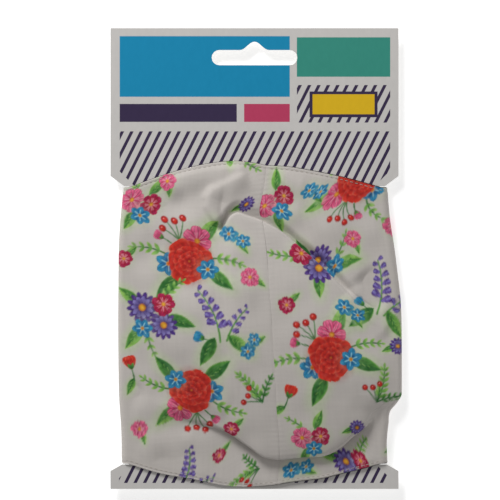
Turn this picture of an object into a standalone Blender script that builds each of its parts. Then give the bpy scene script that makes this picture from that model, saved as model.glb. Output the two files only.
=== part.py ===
"""A cloth face mask folded round the waist of its backing card, lying on its back.

Metres. +X is to the right, +Y towards the hang slot and +Z out of the card's front.
Shapes are worked out from the card's centre line and then moved so that the origin
is the middle of the whole thing's footprint, on the surface that it lies on.
"""

import math

import bmesh
import bpy
import numpy as np

# Backing card
CARD_WIDTH = 0.125
CARD_HEIGHT = 0.200
CARD_THICKNESS = 0.0005
NECK_WIDTH = 0.1086
NECK_BELOW_TOP = 0.0686
FOOT_DEPTH = 0.0106
SHOULDER_HEIGHT = 0.0044
SHOULDER_RUN = 0.0059
FOOT_HEIGHT = 0.0028
FOOT_RUN = 0.0050

# Hang slot: a bar with round ends and a bell-shaped rise for a hook
SLOT_WIDTH = 0.0372
SLOT_HEIGHT = 0.0066
SLOT_BELOW_TOP = 0.0128
SLOT_RISE = 0.0036
SLOT_RISE_WIDTH = 0.0126
SLOT_STEPS = 8

# Mask cloth
CLOTH = 0.0012
CLEARANCE = 0.0003
CORNER_CLEARANCE = 0.0004
SEAM_GAP = 0.0004
HEM_RISE = 0.0110
HEM_DROP = 0.0106
WRAP_REACH = 0.0026
BULGE = 0.0071
CROWN = 0.0052
BAND_LIFT = 0.0032
TUCK_RADIUS = 0.0009
TUCK_OVERLAP = 0.0030
TUCK_SPREAD = 0.0060
BAND_SWELL = 0.0020
SWELL_RISE = 0.0060
SWELL_FALL = 0.60
FOLD_HEIGHT = 0.0022
FOLD_WIDTH = 0.0060
FOLD_TAPER = 0.0050

# Where folds fade out: share of the width at the outer edge and at the seam, and metres at a hem
FADE_AT_EDGE = 0.12
FADE_AT_SEAM = 0.15
FADE_AT_HEM = 0.0040

# Rear wings and their ear hems
EAR_GAP = 0.016
EAR_HEM_WIDTH = 0.009
EAR_TUNNEL = 0.0010
WING_TOP_FALL = 0.0165
WING_BOTTOM_RISE = 0.0140

# How finely the panels are faceted
FRONT_STEPS = 17
WRAP_STEPS = 6
WING_STEPS = 3
HEM_TURN_STEPS = 4
HEM_STEPS = 2
LOWER_BAND_STEPS = 3
DOME_STEPS = 13
UPPER_BAND_STEPS = 5
TUCK_STEPS = 4
DOME_CROWDING = 0.06

# Levels above the surface that it lies on, from the back up
WING_MID = CLOTH / 2
HEM_TURN_RADIUS = (EAR_TUNNEL + CLOTH) / 2
HEM_TOP = EAR_TUNNEL + 2 * CLOTH
HEM_SEWN_MID = CLOTH + CLEARANCE + CLOTH / 2
CARD_BACK = HEM_TOP + CLEARANCE
CARD_FRONT = CARD_BACK + CARD_THICKNESS
BAND_MID = CARD_FRONT + CLEARANCE + CLOTH / 2

# Heights on the card, from its centre
NECK_TOP = CARD_HEIGHT / 2 - NECK_BELOW_TOP
NECK_BOTTOM = -CARD_HEIGHT / 2 + FOOT_DEPTH
CORNER_TOP = NECK_TOP - CORNER_CLEARANCE
CORNER_BOTTOM = NECK_BOTTOM + CORNER_CLEARANCE
MASK_SIDE = CORNER_TOP - CORNER_BOTTOM
NECK_HALF = NECK_WIDTH / 2

# The origin is the middle of the footprint, which the right bulge pushes past the card's edge
RIGHT_REACH = NECK_HALF + WRAP_REACH + BULGE
ORIGIN_X = (max(RIGHT_REACH, CARD_WIDTH / 2) - CARD_WIDTH / 2) / 2

LEFT = -1
RIGHT = 1

# Heights "up" are shares of MASK_SIDE from the lower corners, and "across" is a share of
# the way from the centre seam (0) to the outer edge (1).

# Centre seam: up, and its offset to the right as a share of half the neck's width
SEAM = (
    (-0.080, 0.180),
    (0.014, 0.195),
    (0.230, 0.171),
    (0.590, 0.123),
    (0.873, 0.061),
    (0.915, 0.040),
    (0.960, 0.056),
    (1.000, 0.075),
    (1.100, 0.095),
)

# Outer edges: up, and share of BULGE
EDGE = {
    LEFT: (
        (0.000, 0.11),
        (0.120, 0.14),
        (0.230, 0.26),
        (0.410, 0.32),
        (0.627, 0.32),
        (0.845, 0.24),
        (1.000, 0.00),
    ),
    RIGHT: (
        (0.000, 0.14),
        (0.067, 0.08),
        (0.139, 0.18),
        (0.200, 0.39),
        (0.216, 0.63),
        (0.245, 0.96),
        (0.310, 1.00),
        (0.446, 1.00),
        (0.590, 0.93),
        (0.700, 0.72),
        (0.772, 0.57),
        (0.880, 0.29),
        (1.000, 0.11),
    ),
}

# Hems: across, and share of HEM_RISE above or HEM_DROP below the corners
SEAM_TOP_HEM = (0.00, 0.86)
TOP_HEM = {
    LEFT: (
        SEAM_TOP_HEM,
        (0.08, 0.95),
        (0.22, 1.03),
        (0.43, 0.93),
        (0.61, 0.71),
        (0.84, 0.32),
        (1.00, 0.00),
    ),
    RIGHT: (SEAM_TOP_HEM, (0.20, 0.81), (0.45, 0.62), (0.71, 0.37), (0.88, 0.16), (1.00, 0.00)),
}
SEAM_BOTTOM_HEM = (0.00, 0.87)
BOTTOM_HEM = {
    LEFT: (
        SEAM_BOTTOM_HEM,
        (0.11, 0.93),
        (0.24, 0.95),
        (0.35, 0.90),
        (0.43, 0.81),
        (0.52, 0.69),
        (0.82, 0.34),
        (1.00, 0.00),
    ),
    RIGHT: (
        SEAM_BOTTOM_HEM,
        (0.09, 0.79),
        (0.25, 0.70),
        (0.43, 0.61),
        (0.61, 0.42),
        (0.80, 0.23),
        (1.00, 0.00),
    ),
}

# Creases where the dome hangs over a band: across, up, tuck (1 is doubled right over)
# and the band's lift there as a share of BAND_LIFT
SEAM_UPPER_CREASE = (0.00, 0.884, 0.80, 0.00)
UPPER_CREASE = {
    LEFT: (
        SEAM_UPPER_CREASE,
        (0.100, 0.900, 0.85, 0.00),
        (0.176, 0.910, 0.90, 0.00),
        (0.240, 0.895, 0.85, 0.00),
        (0.296, 0.863, 0.60, 0.00),
        (0.340, 0.843, 0.24, 0.45),
        (0.400, 0.835, 0.00, 0.90),
        (0.490, 0.830, 0.00, 1.00),
        (0.650, 0.820, 0.00, 0.72),
        (0.850, 0.810, 0.00, 0.30),
        (1.000, 0.800, 0.00, 0.00),
    ),
    RIGHT: (
        SEAM_UPPER_CREASE,
        (0.177, 0.834, 0.75, 0.00),
        (0.303, 0.780, 0.80, 0.00),
        (0.413, 0.736, 0.72, 0.00),
        (0.526, 0.686, 0.58, 0.02),
        (0.620, 0.640, 0.45, 0.03),
        (0.720, 0.586, 0.30, 0.08),
        (0.820, 0.540, 0.12, 0.15),
        (0.900, 0.516, 0.00, 0.18),
        (1.000, 0.500, 0.00, 0.10),
    ),
}
SEAM_LOWER_CREASE = (0.00, 0.014, 0.95, 0.00)
LOWER_CREASE = {
    LEFT: (
        SEAM_LOWER_CREASE,
        (0.107, 0.024, 0.90, 0.00),
        (0.213, 0.060, 0.75, 0.00),
        (0.356, 0.110, 0.50, 0.08),
        (0.557, 0.150, 0.22, 0.22),
        (0.757, 0.195, 0.03, 0.30),
        (1.000, 0.230, 0.00, 0.00),
    ),
    RIGHT: (
        SEAM_LOWER_CREASE,
        (0.240, 0.024, 1.00, 0.00),
        (0.470, 0.030, 1.00, 0.00),
        (0.645, 0.062, 0.90, 0.00),
        (0.737, 0.090, 0.75, 0.00),
        (0.861, 0.126, 0.50, 0.05),
        (0.930, 0.160, 0.22, 0.08),
        (1.000, 0.200, 0.06, 0.05),
    ),
}

# Swell of the upper band just above its crease: across, share of BAND_SWELL
BAND_SWELL_ACROSS = {
    LEFT: ((0.0, 0.7), (0.15, 1.0), (0.25, 1.0), (0.32, 0.6), (0.40, 0.1), (0.50, 0.0), (1.0, 0.0)),
    RIGHT: (
        (0.00, 0.7),
        (0.18, 0.9),
        (0.30, 1.0),
        (0.45, 1.0),
        (0.60, 0.8),
        (0.75, 0.4),
        (0.90, 0.0),
        (1.00, 0.0),
    ),
}

# How gently the dome rises from its lower and from its upper crease: across, power at each
DOME_RISE = {
    LEFT: (
        (0.00, 0.75, 0.75),
        (0.20, 0.80, 0.90),
        (0.40, 1.00, 1.25),
        (0.60, 1.25, 1.50),
        (0.80, 1.50, 1.60),
        (1.00, 1.60, 1.60),
    ),
    RIGHT: (
        (0.00, 0.75, 0.75),
        (0.30, 0.75, 0.80),
        (0.50, 0.80, 0.95),
        (0.75, 0.85, 1.35),
        (1.00, 1.10, 1.60),
    ),
}

# How the dome's crown falls away from the seam to the outer edge: across, share of CROWN
CROWN_ACROSS = {
    LEFT: ((0.0, 0.94), (0.2, 1.0), (0.45, 0.97), (0.65, 0.78), (0.82, 0.38), (0.93, 0.10), (1.0, 0.0)),
    RIGHT: ((0.0, 0.94), (0.2, 1.0), (0.50, 0.97), (0.72, 0.80), (0.87, 0.44), (0.95, 0.16), (1.0, 0.05)),
}

# Soft folds: the line of each one's top as (across, up) points, its height and its width
# on the side to the left and to the right of the line, as shares of FOLD_HEIGHT and FOLD_WIDTH
FOLDS = {
    LEFT: (
        {
            "line": (
                (0.10, 1.050),
                (0.18, 1.026),
                (0.26, 0.991),
                (0.33, 0.960),
                (0.35, 0.929),
                (0.33, 0.893),
                (0.29, 0.856),
            ),
            "height": 0.62,
            "left_width": 0.6,
            "right_width": 0.6,
        },
        {
            "line": ((0.86, 0.903), (0.73, 0.921), (0.60, 0.939), (0.50, 0.957)),
            "height": -0.40,
            "left_width": 0.9,
            "right_width": 0.9,
        },
        {
            "line": ((0.95, 0.215), (0.86, 0.219), (0.66, 0.212), (0.44, 0.215), (0.29, 0.190)),
            "height": 0.36,
            "left_width": 1.0,
            "right_width": 1.0,
        },
    ),
    RIGHT: (
        {
            "line": ((0.60, 0.635), (0.70, 0.580), (0.78, 0.540), (0.86, 0.505), (0.93, 0.470)),
            "height": 0.50,
            "left_width": 0.7,
            "right_width": 1.4,
        },
        {
            "line": ((0.68, 0.690), (0.76, 0.640), (0.83, 0.596), (0.90, 0.560)),
            "height": -0.55,
            "left_width": 1.1,
            "right_width": 0.8,
        },
        {
            "line": ((0.05, 1.030), (0.14, 1.018), (0.37, 0.989)),
            "height": 0.36,
            "left_width": 0.9,
            "right_width": 0.9,
        },
    ),
}


def read_table(rows, column, at):
    """A smooth curve through one column of a table, read at the given places."""
    places = np.array([row[0] for row in rows])
    values = np.array([row[column] for row in rows])
    slopes = np.gradient(values, places)
    at = np.clip(at, places[0], places[-1])
    index = np.clip(np.searchsorted(places, at, side="right") - 1, 0, len(places) - 2)
    span = places[index + 1] - places[index]
    t = (at - places[index]) / span
    from_value = (1 + 2 * t) * (1 - t) ** 2 * values[index]
    to_value = t**2 * (3 - 2 * t) * values[index + 1]
    from_slope = t * (1 - t) ** 2 * span * slopes[index]
    to_slope = t**2 * (t - 1) * span * slopes[index + 1]
    return from_value + to_value + from_slope + to_slope


def ease(share):
    """From 0 to 1 with level ends."""
    share = np.clip(share, 0.0, 1.0)
    return share * share * (3 - 2 * share)


def up_share(y):
    return (y - CORNER_BOTTOM) / MASK_SIDE


def seam_x(y):
    return NECK_HALF * read_table(SEAM, 1, up_share(y))


def edge_x(side, y):
    """The mask's outline at the card's edge, seen from the front."""
    bulge = np.clip(read_table(EDGE[side], 1, up_share(y)), 0.0, 1.0)
    return side * (NECK_HALF + WRAP_REACH + BULGE * bulge)


def doubled_over(tuck):
    """How far a tuck has turned over: 0 is level and 1 is right over."""
    return (1 - math.cos(math.pi * math.sqrt(tuck))) / 2


def overlap_at(tuck):
    """The length of cloth that lies doubled back in a tuck."""
    return TUCK_OVERLAP * tuck**2


def tuck_path(tuck):
    """The cloth's middle line through a tuck seen from the side, from the band up to the dome.

    It turns up, runs back over itself and turns level again. A tuck of 0 lies flat and spread out.
    """
    turn = math.pi * math.sqrt(tuck)
    overlap = overlap_at(tuck)
    angles = np.linspace(0.0, turn, TUCK_STEPS + 1)
    rise = TUCK_RADIUS * np.stack([np.sin(angles), 1 - np.cos(angles)], axis=1)
    run = overlap * np.array([math.cos(turn), math.sin(turn)])
    level = 2 * rise[-1] + run - rise[::-1]
    path = np.concatenate([rise, level])
    path[:, 0] += TUCK_SPREAD * (1 - doubled_over(tuck)) * np.linspace(0.0, 1.0, len(path))
    return path


def tuck_in_place(crease, slope, upper):
    """A tuck's (y, z above the band) points, its rim's outer face on the crease line."""
    y, tuck, lift = crease
    path = tuck_path(tuck)
    rim = (overlap_at(tuck) / 2 + TUCK_RADIUS + CLOTH / 2) * doubled_over(tuck)
    stretch = math.sqrt(1 + slope**2)
    along = (path[:, 0] - path[-1, 0] / 2 + rim) * stretch
    if upper:
        along = -along
    points = np.stack([y + along, path[:, 1] + lift], axis=1)
    return points[::-1] if upper else points


def crease_at(table, side, across):
    """A crease's height, tuck and band lift at one place across, with its slope seen from the front."""
    step = 0.01
    width = abs(edge_x(side, 0.0) - seam_x(0.0))
    y = CORNER_BOTTOM + MASK_SIDE * float(read_table(table, 1, across))
    low = read_table(table, 1, max(across - step, 0.0))
    high = read_table(table, 1, min(across + step, 1.0))
    run = (min(across + step, 1.0) - max(across - step, 0.0)) * width
    slope = float(high - low) * MASK_SIDE / float(run)
    tuck = max(float(read_table(table, 2, across)), 0.0)
    lift = BAND_LIFT * max(float(read_table(table, 3, across)), 0.0)
    return (y, tuck, lift), slope


def section(side, across):
    """The cloth's middle line from the bottom hem to the top hem, as (y, lift above the band)."""
    bottom = CORNER_BOTTOM - HEM_DROP * float(read_table(BOTTOM_HEM[side], 1, across))
    top = CORNER_TOP + HEM_RISE * float(read_table(TOP_HEM[side], 1, across))
    low_crease, low_slope = crease_at(LOWER_CREASE[side], side, across)
    high_crease, high_slope = crease_at(UPPER_CREASE[side], side, across)
    low = tuck_in_place(low_crease, low_slope, upper=False)
    high = tuck_in_place(high_crease, high_slope, upper=True)
    crown = CROWN * float(read_table(CROWN_ACROSS[side], 1, across))

    share = np.linspace(0.0, 1.0, LOWER_BAND_STEPS + 1)[:-1]
    lower = np.stack([bottom + (low[0, 0] - bottom) * share, low[0, 1] * ease(share)], axis=1)

    share = np.linspace(0.0, 1.0, DOME_STEPS + 1)[1:-1]
    share = share - DOME_CROWDING * np.sin(2 * math.pi * share)
    level = low[-1, 1] + (high[0, 1] - low[-1, 1]) * share
    low_power = float(read_table(DOME_RISE[side], 1, across))
    high_power = float(read_table(DOME_RISE[side], 2, across))
    pillow = np.sin(math.pi * share) ** (low_power + (high_power - low_power) * ease(share))
    dome = np.stack([low[-1, 0] + (high[0, 0] - low[-1, 0]) * share, level + crown * pillow], axis=1)

    share = np.linspace(0.0, 1.0, UPPER_BAND_STEPS + 1)[1:]
    y = high[-1, 0] + (top - high[-1, 0]) * share
    swell = BAND_SWELL * float(read_table(BAND_SWELL_ACROSS[side], 1, across))
    swell = swell * ease((y - high_crease[0]) / SWELL_RISE) * ease((1 - share) / SWELL_FALL)
    upper = np.stack([y, high[-1, 1] * ease(1 - share) + swell], axis=1)
    return np.concatenate([lower, low, dome, high, upper])


def fold_height(side, x, y, fold):
    """How far one soft fold lifts the cloth at each point."""
    line = np.array(fold["line"])
    line_y = CORNER_BOTTOM + MASK_SIDE * line[:, 1]
    line_x = seam_x(line_y) + (edge_x(side, line_y) - seam_x(line_y)) * line[:, 0]
    nearest = np.full(x.shape, np.inf)
    signed = np.zeros(x.shape)
    place = np.zeros(x.shape)
    whole = 0.0
    for start_x, start_y, end_x, end_y in zip(line_x[:-1], line_y[:-1], line_x[1:], line_y[1:]):
        run = np.array([end_x - start_x, end_y - start_y])
        length = math.hypot(*run)
        share = ((x - start_x) * run[0] + (y - start_y) * run[1]) / length**2
        share = np.clip(share, 0.0, 1.0)
        off_x = x - (start_x + run[0] * share)
        off_y = y - (start_y + run[1] * share)
        distance = np.hypot(off_x, off_y)
        closer = distance < nearest
        to_left = run[0] * off_y - run[1] * off_x > 0
        signed = np.where(closer, np.where(to_left, -distance, distance), signed)
        place = np.where(closer, whole + share * length, place)
        nearest = np.minimum(nearest, distance)
        whole += length
    width = np.where(signed < 0, fold["left_width"], fold["right_width"]) * FOLD_WIDTH
    taper = ease(np.minimum(place, whole - place) / FOLD_TAPER)
    return FOLD_HEIGHT * fold["height"] * taper * np.exp(-((signed / width) ** 2))


def front_points(side):
    """The middle surface in front of the card: an array of [row][column][x, y, z]."""
    columns = []
    for across in np.linspace(0.0, 1.0, FRONT_STEPS + 1):
        points = section(side, across)
        y = points[:, 0]
        lift = points[:, 1]
        seam = seam_x(y) + side * SEAM_GAP / 2
        depth = (BAND_MID + lift - WING_MID) / 2
        edge = edge_x(side, y) - side * (CLOTH / 2 + depth)
        x = seam + (edge - seam) * across
        fade = ease((1 - across) / FADE_AT_EDGE) * ease(across / FADE_AT_SEAM)
        fade = fade * ease((y - y[0]) / FADE_AT_HEM) * ease((y[-1] - y) / FADE_AT_HEM)
        for fold in FOLDS[side]:
            lift = lift + fade * fold_height(side, x, y, fold)
        columns.append(np.stack([x, y, BAND_MID + np.maximum(lift, 0.0)], axis=1))
    return np.stack(columns, axis=1)


def wing_y(side, edge_y, x):
    """The height on the wing of the row that crosses the card's edge at edge_y."""
    end = EAR_GAP / 2
    inward = np.clip((NECK_HALF - np.abs(x)) / (NECK_HALF - end), 0.0, 1.0)
    top = CORNER_TOP - WING_TOP_FALL * inward
    bottom = CORNER_BOTTOM + WING_BOTTOM_RISE * inward
    return bottom + (top - bottom) * up_share(edge_y)


def panel_points(side):
    """The whole middle surface of one half of the mask, from the centre seam to the ear hem."""
    front = front_points(side)
    edge = front[:, -1, :]
    depth = (edge[:, 2] - WING_MID) / 2
    columns = [front[:, i, :] for i in range(front.shape[1])]

    for angle in np.linspace(math.pi / 2, -math.pi / 2, WRAP_STEPS + 1)[1:]:
        x = edge[:, 0] + side * depth * math.cos(angle)
        z = WING_MID + depth * (1 + math.sin(angle))
        columns.append(np.stack([x, edge[:, 1], z], axis=1))

    hem_x = side * (EAR_GAP / 2 + CLOTH / 2 + HEM_TURN_RADIUS)
    for share in np.linspace(0.0, 1.0, WING_STEPS + 1)[1:]:
        x = edge[:, 0] + (hem_x - edge[:, 0]) * share
        columns.append(np.stack([x, wing_y(side, edge[:, 1], x), np.full(len(x), WING_MID)], axis=1))

    for angle in np.linspace(0.0, math.pi, HEM_TURN_STEPS + 1)[1:]:
        x = np.full(len(edge), hem_x - side * HEM_TURN_RADIUS * math.sin(angle))
        z = np.full(len(edge), WING_MID + HEM_TURN_RADIUS * (1 - math.cos(angle)))
        columns.append(np.stack([x, wing_y(side, edge[:, 1], x), z], axis=1))

    hem_mid = WING_MID + 2 * HEM_TURN_RADIUS
    for share in np.linspace(0.0, 1.0, HEM_STEPS + 1)[1:]:
        x = np.full(len(edge), hem_x + side * EAR_HEM_WIDTH * share)
        z = np.full(len(edge), hem_mid + (HEM_SEWN_MID - hem_mid) * ease(share))
        columns.append(np.stack([x, wing_y(side, edge[:, 1], x), z], axis=1))
    return np.stack(columns, axis=1)


def add_material(obj, name, colour, roughness):
    material = bpy.data.materials.new(name)
    material.use_nodes = True
    shader = material.node_tree.nodes["Principled BSDF"]
    shader.inputs["Base Color"].default_value = (*colour, 1.0)
    shader.inputs["Roughness"].default_value = roughness
    shader.inputs["Metallic"].default_value = 0.0
    obj.data.materials.append(material)


def card_outline():
    """The card's corners, anticlockwise from the lower left."""
    half = CARD_WIDTH / 2
    top = CARD_HEIGHT / 2
    right = [
        (half, -top),
        (half, NECK_BOTTOM - FOOT_HEIGHT),
        (half - FOOT_RUN, NECK_BOTTOM),
        (NECK_HALF, NECK_BOTTOM),
        (NECK_HALF, NECK_TOP),
        (half - SHOULDER_RUN, NECK_TOP),
        (half, NECK_TOP + SHOULDER_HEIGHT),
        (half, top),
    ]
    return right + [(-x, y) for x, y in reversed(right)]


def slot_outline():
    """The hang slot: round ends joined by straight sides, with a bell-shaped rise on top."""
    radius = SLOT_HEIGHT / 2
    centre_y = CARD_HEIGHT / 2 - SLOT_BELOW_TOP
    end_x = SLOT_WIDTH / 2 - radius
    points = []
    for angle in np.linspace(-math.pi / 2, math.pi / 2, SLOT_STEPS + 1):
        points.append((end_x + radius * math.cos(angle), centre_y + radius * math.sin(angle)))
    for share in np.linspace(1.0, -1.0, 2 * SLOT_STEPS + 1):
        rise = SLOT_RISE * math.cos(share * math.pi / 2) ** 2
        points.append((share * SLOT_RISE_WIDTH / 2, centre_y + radius + rise))
    for angle in np.linspace(math.pi / 2, 3 * math.pi / 2, SLOT_STEPS + 1):
        points.append((-end_x + radius * math.cos(angle), centre_y + radius * math.sin(angle)))
    return points


def make_card(collection, origin):
    curve = bpy.data.curves.new("backing_card", "CURVE")
    curve.dimensions = "2D"
    curve.fill_mode = "BOTH"
    curve.extrude = CARD_THICKNESS / 2
    for outline in (card_outline(), slot_outline()):
        spline = curve.splines.new("POLY")
        spline.points.add(len(outline) - 1)
        for point, (x, y) in zip(spline.points, outline):
            point.co = (x, y, 0.0, 1.0)
        spline.use_cyclic_u = True
    card = bpy.data.objects.new("backing_card", curve)
    card.parent = origin
    card.location = (0.0, 0.0, (CARD_BACK + CARD_FRONT) / 2)
    collection.objects.link(card)
    add_material(card, "card_board", (0.52, 0.50, 0.49), 0.45)


def make_panel(collection, origin, name, side):
    """One half of the mask: an open loft through its sections, thickened to the cloth's wall."""
    points = panel_points(side)
    rows, columns = points.shape[:2]
    mesh = bpy.data.meshes.new(name)
    work = bmesh.new()
    verts = [[work.verts.new(points[i, j]) for j in range(columns)] for i in range(rows)]
    for i in range(rows - 1):
        for j in range(columns - 1):
            corners = (verts[i][j], verts[i][j + 1], verts[i + 1][j + 1], verts[i + 1][j])
            work.faces.new(corners if side == RIGHT else corners[::-1])
    work.to_mesh(mesh)
    work.free()
    mesh.shade_smooth()
    panel = bpy.data.objects.new(name, mesh)
    panel.parent = origin
    collection.objects.link(panel)
    wall = panel.modifiers.new("wall", "SOLIDIFY")
    wall.thickness = CLOTH
    wall.offset = 0.0
    add_material(panel, name + "_cotton", (0.52, 0.49, 0.46), 0.9)


def build():
    for obj in list(bpy.data.objects):
        bpy.data.objects.remove(obj)
    collection = bpy.data.collections.new("cloth_face_mask_on_card")
    bpy.context.scene.collection.children.link(collection)
    origin = bpy.data.objects.new("footprint_middle", None)
    origin.location = (-ORIGIN_X, 0.0, 0.0)
    collection.objects.link(origin)
    make_card(collection, origin)
    make_panel(collection, origin, "mask_panel_left", LEFT)
    make_panel(collection, origin, "mask_panel_right", RIGHT)


build()
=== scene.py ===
"""Looks of the cloth face mask that is folded round its backing card.

Metres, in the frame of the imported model: +X to the right, +Y towards the hang slot, +Z up.
The cloth is rebuilt as two fine sheets on the same sections as the solids that they replace,
then creased, stitched and printed. The card keeps its solid and gets a printed finish.
"""

import math

import bpy
import numpy as np
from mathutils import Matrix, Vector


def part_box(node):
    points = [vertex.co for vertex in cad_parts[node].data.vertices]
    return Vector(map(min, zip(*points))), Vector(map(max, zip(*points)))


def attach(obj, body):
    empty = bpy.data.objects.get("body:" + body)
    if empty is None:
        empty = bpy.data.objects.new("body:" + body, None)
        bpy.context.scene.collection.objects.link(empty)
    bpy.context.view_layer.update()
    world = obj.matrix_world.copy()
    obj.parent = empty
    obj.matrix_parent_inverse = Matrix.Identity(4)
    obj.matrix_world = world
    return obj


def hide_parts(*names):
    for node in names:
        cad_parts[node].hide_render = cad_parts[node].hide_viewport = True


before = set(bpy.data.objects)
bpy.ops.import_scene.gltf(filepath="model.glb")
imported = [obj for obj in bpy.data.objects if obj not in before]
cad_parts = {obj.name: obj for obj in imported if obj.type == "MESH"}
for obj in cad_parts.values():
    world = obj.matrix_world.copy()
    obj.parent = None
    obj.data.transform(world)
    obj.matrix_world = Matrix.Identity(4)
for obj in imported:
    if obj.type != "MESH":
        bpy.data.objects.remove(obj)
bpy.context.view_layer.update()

# Card, read from the frame
CARD_LOW, CARD_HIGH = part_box("backing_card")
CARD_X = (CARD_LOW.x + CARD_HIGH.x) / 2
CARD_HEIGHT = CARD_HIGH.y - CARD_LOW.y
CARD_FRONT = CARD_HIGH.z
NECK_WIDTH = 0.1086
NECK_BELOW_TOP = 0.0686
FOOT_DEPTH = 0.0106

# Mask cloth
CLOTH = 0.0012
CLEARANCE = 0.0003
CORNER_CLEARANCE = 0.0004
SEAM_JOIN = 0.00004
HEM_RISE = 0.0110
HEM_DROP = 0.0106
WRAP_REACH = 0.0026
BULGE = 0.0071
CROWN = 0.0052
BAND_LIFT = 0.0032
TUCK_RADIUS = 0.0009
TUCK_OVERLAP = 0.0030
TUCK_SPREAD = 0.0060
BAND_SWELL = 0.0020
SWELL_RISE = 0.0060
SWELL_FALL = 0.6
DOME_CROWDING = 0.06
FOLD_HEIGHT = 0.0022
FOLD_WIDTH = 0.0060
FOLD_TAPER = 0.0050

# Rear wings and their ear hems
EAR_GAP = 0.016
EAR_HEM_WIDTH = 0.009
EAR_TUNNEL = 0.0010
WING_TOP_FALL = 0.0165
WING_BOTTOM_RISE = 0.0140

# How finely the sheets are meshed: the hidden side keeps every third row and column
FRONT_STEPS = 174
WRAP_STEPS = 12
WING_STEPS = 51
HEM_TURN_STEPS = 9
HEM_STEPS = 6
LOWER_BAND_STEPS = 27
DOME_STEPS = 190
UPPER_BAND_STEPS = 88
TUCK_STEPS = 8
BACK_STRIDE = 3

# Levels above the surface that it lies on, from the back up
WING_MID = CLOTH / 2
HEM_TURN_RADIUS = (EAR_TUNNEL + CLOTH) / 2
HEM_SEWN_MID = CLOTH + CLEARANCE + CLOTH / 2
BAND_MID = CARD_FRONT + CLEARANCE + CLOTH / 2

# Heights on the card, from its centre
NECK_TOP = CARD_HEIGHT / 2 - NECK_BELOW_TOP
NECK_BOTTOM = -CARD_HEIGHT / 2 + FOOT_DEPTH
CORNER_TOP = NECK_TOP - CORNER_CLEARANCE
CORNER_BOTTOM = NECK_BOTTOM + CORNER_CLEARANCE
MASK_SIDE = CORNER_TOP - CORNER_BOTTOM
NECK_HALF = NECK_WIDTH / 2

LEFT = -1
RIGHT = 1
PANELS = {"left": LEFT, "right": RIGHT}

# Heights "up" are shares of MASK_SIDE from the lower corners, and "across" is a share of
# the way from the centre seam (0) to the outer edge (1).

# Centre seam: up, and its offset to the right as a share of half the neck's width
SEAM = (
    (-0.08, 0.18), (0.014, 0.195), (0.23, 0.171), (0.59, 0.123), (0.873, 0.061), (0.915, 0.04),
    (0.96, 0.056), (1.0, 0.075), (1.1, 0.095),
)

# Outer edges: up, and share of BULGE
EDGE = {
    LEFT: (
        (0.0, 0.11), (0.12, 0.14), (0.23, 0.26), (0.41, 0.32), (0.627, 0.32), (0.845, 0.24),
        (1.0, 0.0),
    ),
    RIGHT: (
        (0.0, 0.14), (0.067, 0.08), (0.139, 0.18), (0.2, 0.39), (0.216, 0.63), (0.245, 0.96),
        (0.31, 1.0), (0.446, 1.0), (0.59, 0.93), (0.7, 0.72), (0.772, 0.57), (0.88, 0.29),
        (1.0, 0.11),
    ),
}

# Hems: across, and share of HEM_RISE above or HEM_DROP below the corners
SEAM_TOP_HEM = (0.0, 0.86)
TOP_HEM = {
    LEFT: (
        SEAM_TOP_HEM, (0.08, 0.95), (0.22, 1.03), (0.43, 0.93), (0.61, 0.71), (0.84, 0.32),
        (1.0, 0.0),
    ),
    RIGHT: (SEAM_TOP_HEM, (0.2, 0.81), (0.45, 0.62), (0.71, 0.37), (0.88, 0.16), (1.0, 0.0)),
}
SEAM_BOTTOM_HEM = (0.0, 0.87)
BOTTOM_HEM = {
    LEFT: (
        SEAM_BOTTOM_HEM, (0.11, 0.93), (0.24, 0.95), (0.35, 0.9), (0.43, 0.81), (0.52, 0.69),
        (0.82, 0.34), (1.0, 0.0),
    ),
    RIGHT: (
        SEAM_BOTTOM_HEM, (0.09, 0.79), (0.25, 0.7), (0.43, 0.61), (0.61, 0.42), (0.8, 0.23),
        (1.0, 0.0),
    ),
}

# Creases where the dome hangs over a band: across, up, tuck (1 is doubled right over)
# and the band's lift there as a share of BAND_LIFT
SEAM_UPPER_CREASE = (0.0, 0.884, 0.8, 0.0)
UPPER_CREASE = {
    LEFT: (
        SEAM_UPPER_CREASE, (0.1, 0.9, 0.85, 0.0), (0.176, 0.91, 0.9, 0.0), (0.24, 0.895, 0.85, 0.0),
        (0.296, 0.863, 0.6, 0.0), (0.34, 0.843, 0.24, 0.45), (0.4, 0.835, 0.0, 0.9),
        (0.49, 0.83, 0.0, 1.0), (0.65, 0.82, 0.0, 0.72), (0.85, 0.81, 0.0, 0.3),
        (1.0, 0.8, 0.0, 0.0),
    ),
    RIGHT: (
        SEAM_UPPER_CREASE, (0.177, 0.834, 0.75, 0.0), (0.303, 0.78, 0.8, 0.0),
        (0.413, 0.736, 0.72, 0.0), (0.526, 0.686, 0.58, 0.02), (0.62, 0.64, 0.45, 0.03),
        (0.72, 0.586, 0.3, 0.08), (0.82, 0.54, 0.12, 0.15), (0.9, 0.516, 0.0, 0.18),
        (1.0, 0.5, 0.0, 0.1),
    ),
}
SEAM_LOWER_CREASE = (0.0, 0.014, 0.95, 0.0)
LOWER_CREASE = {
    LEFT: (
        SEAM_LOWER_CREASE, (0.107, 0.024, 0.9, 0.0), (0.213, 0.06, 0.75, 0.0),
        (0.356, 0.11, 0.5, 0.08), (0.557, 0.15, 0.22, 0.22), (0.757, 0.195, 0.03, 0.3),
        (1.0, 0.23, 0.0, 0.0),
    ),
    RIGHT: (
        SEAM_LOWER_CREASE, (0.24, 0.024, 1.0, 0.0), (0.47, 0.03, 1.0, 0.0),
        (0.645, 0.062, 0.9, 0.0), (0.737, 0.09, 0.75, 0.0), (0.861, 0.126, 0.5, 0.05),
        (0.93, 0.16, 0.22, 0.08), (1.0, 0.2, 0.06, 0.05),
    ),
}

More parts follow.
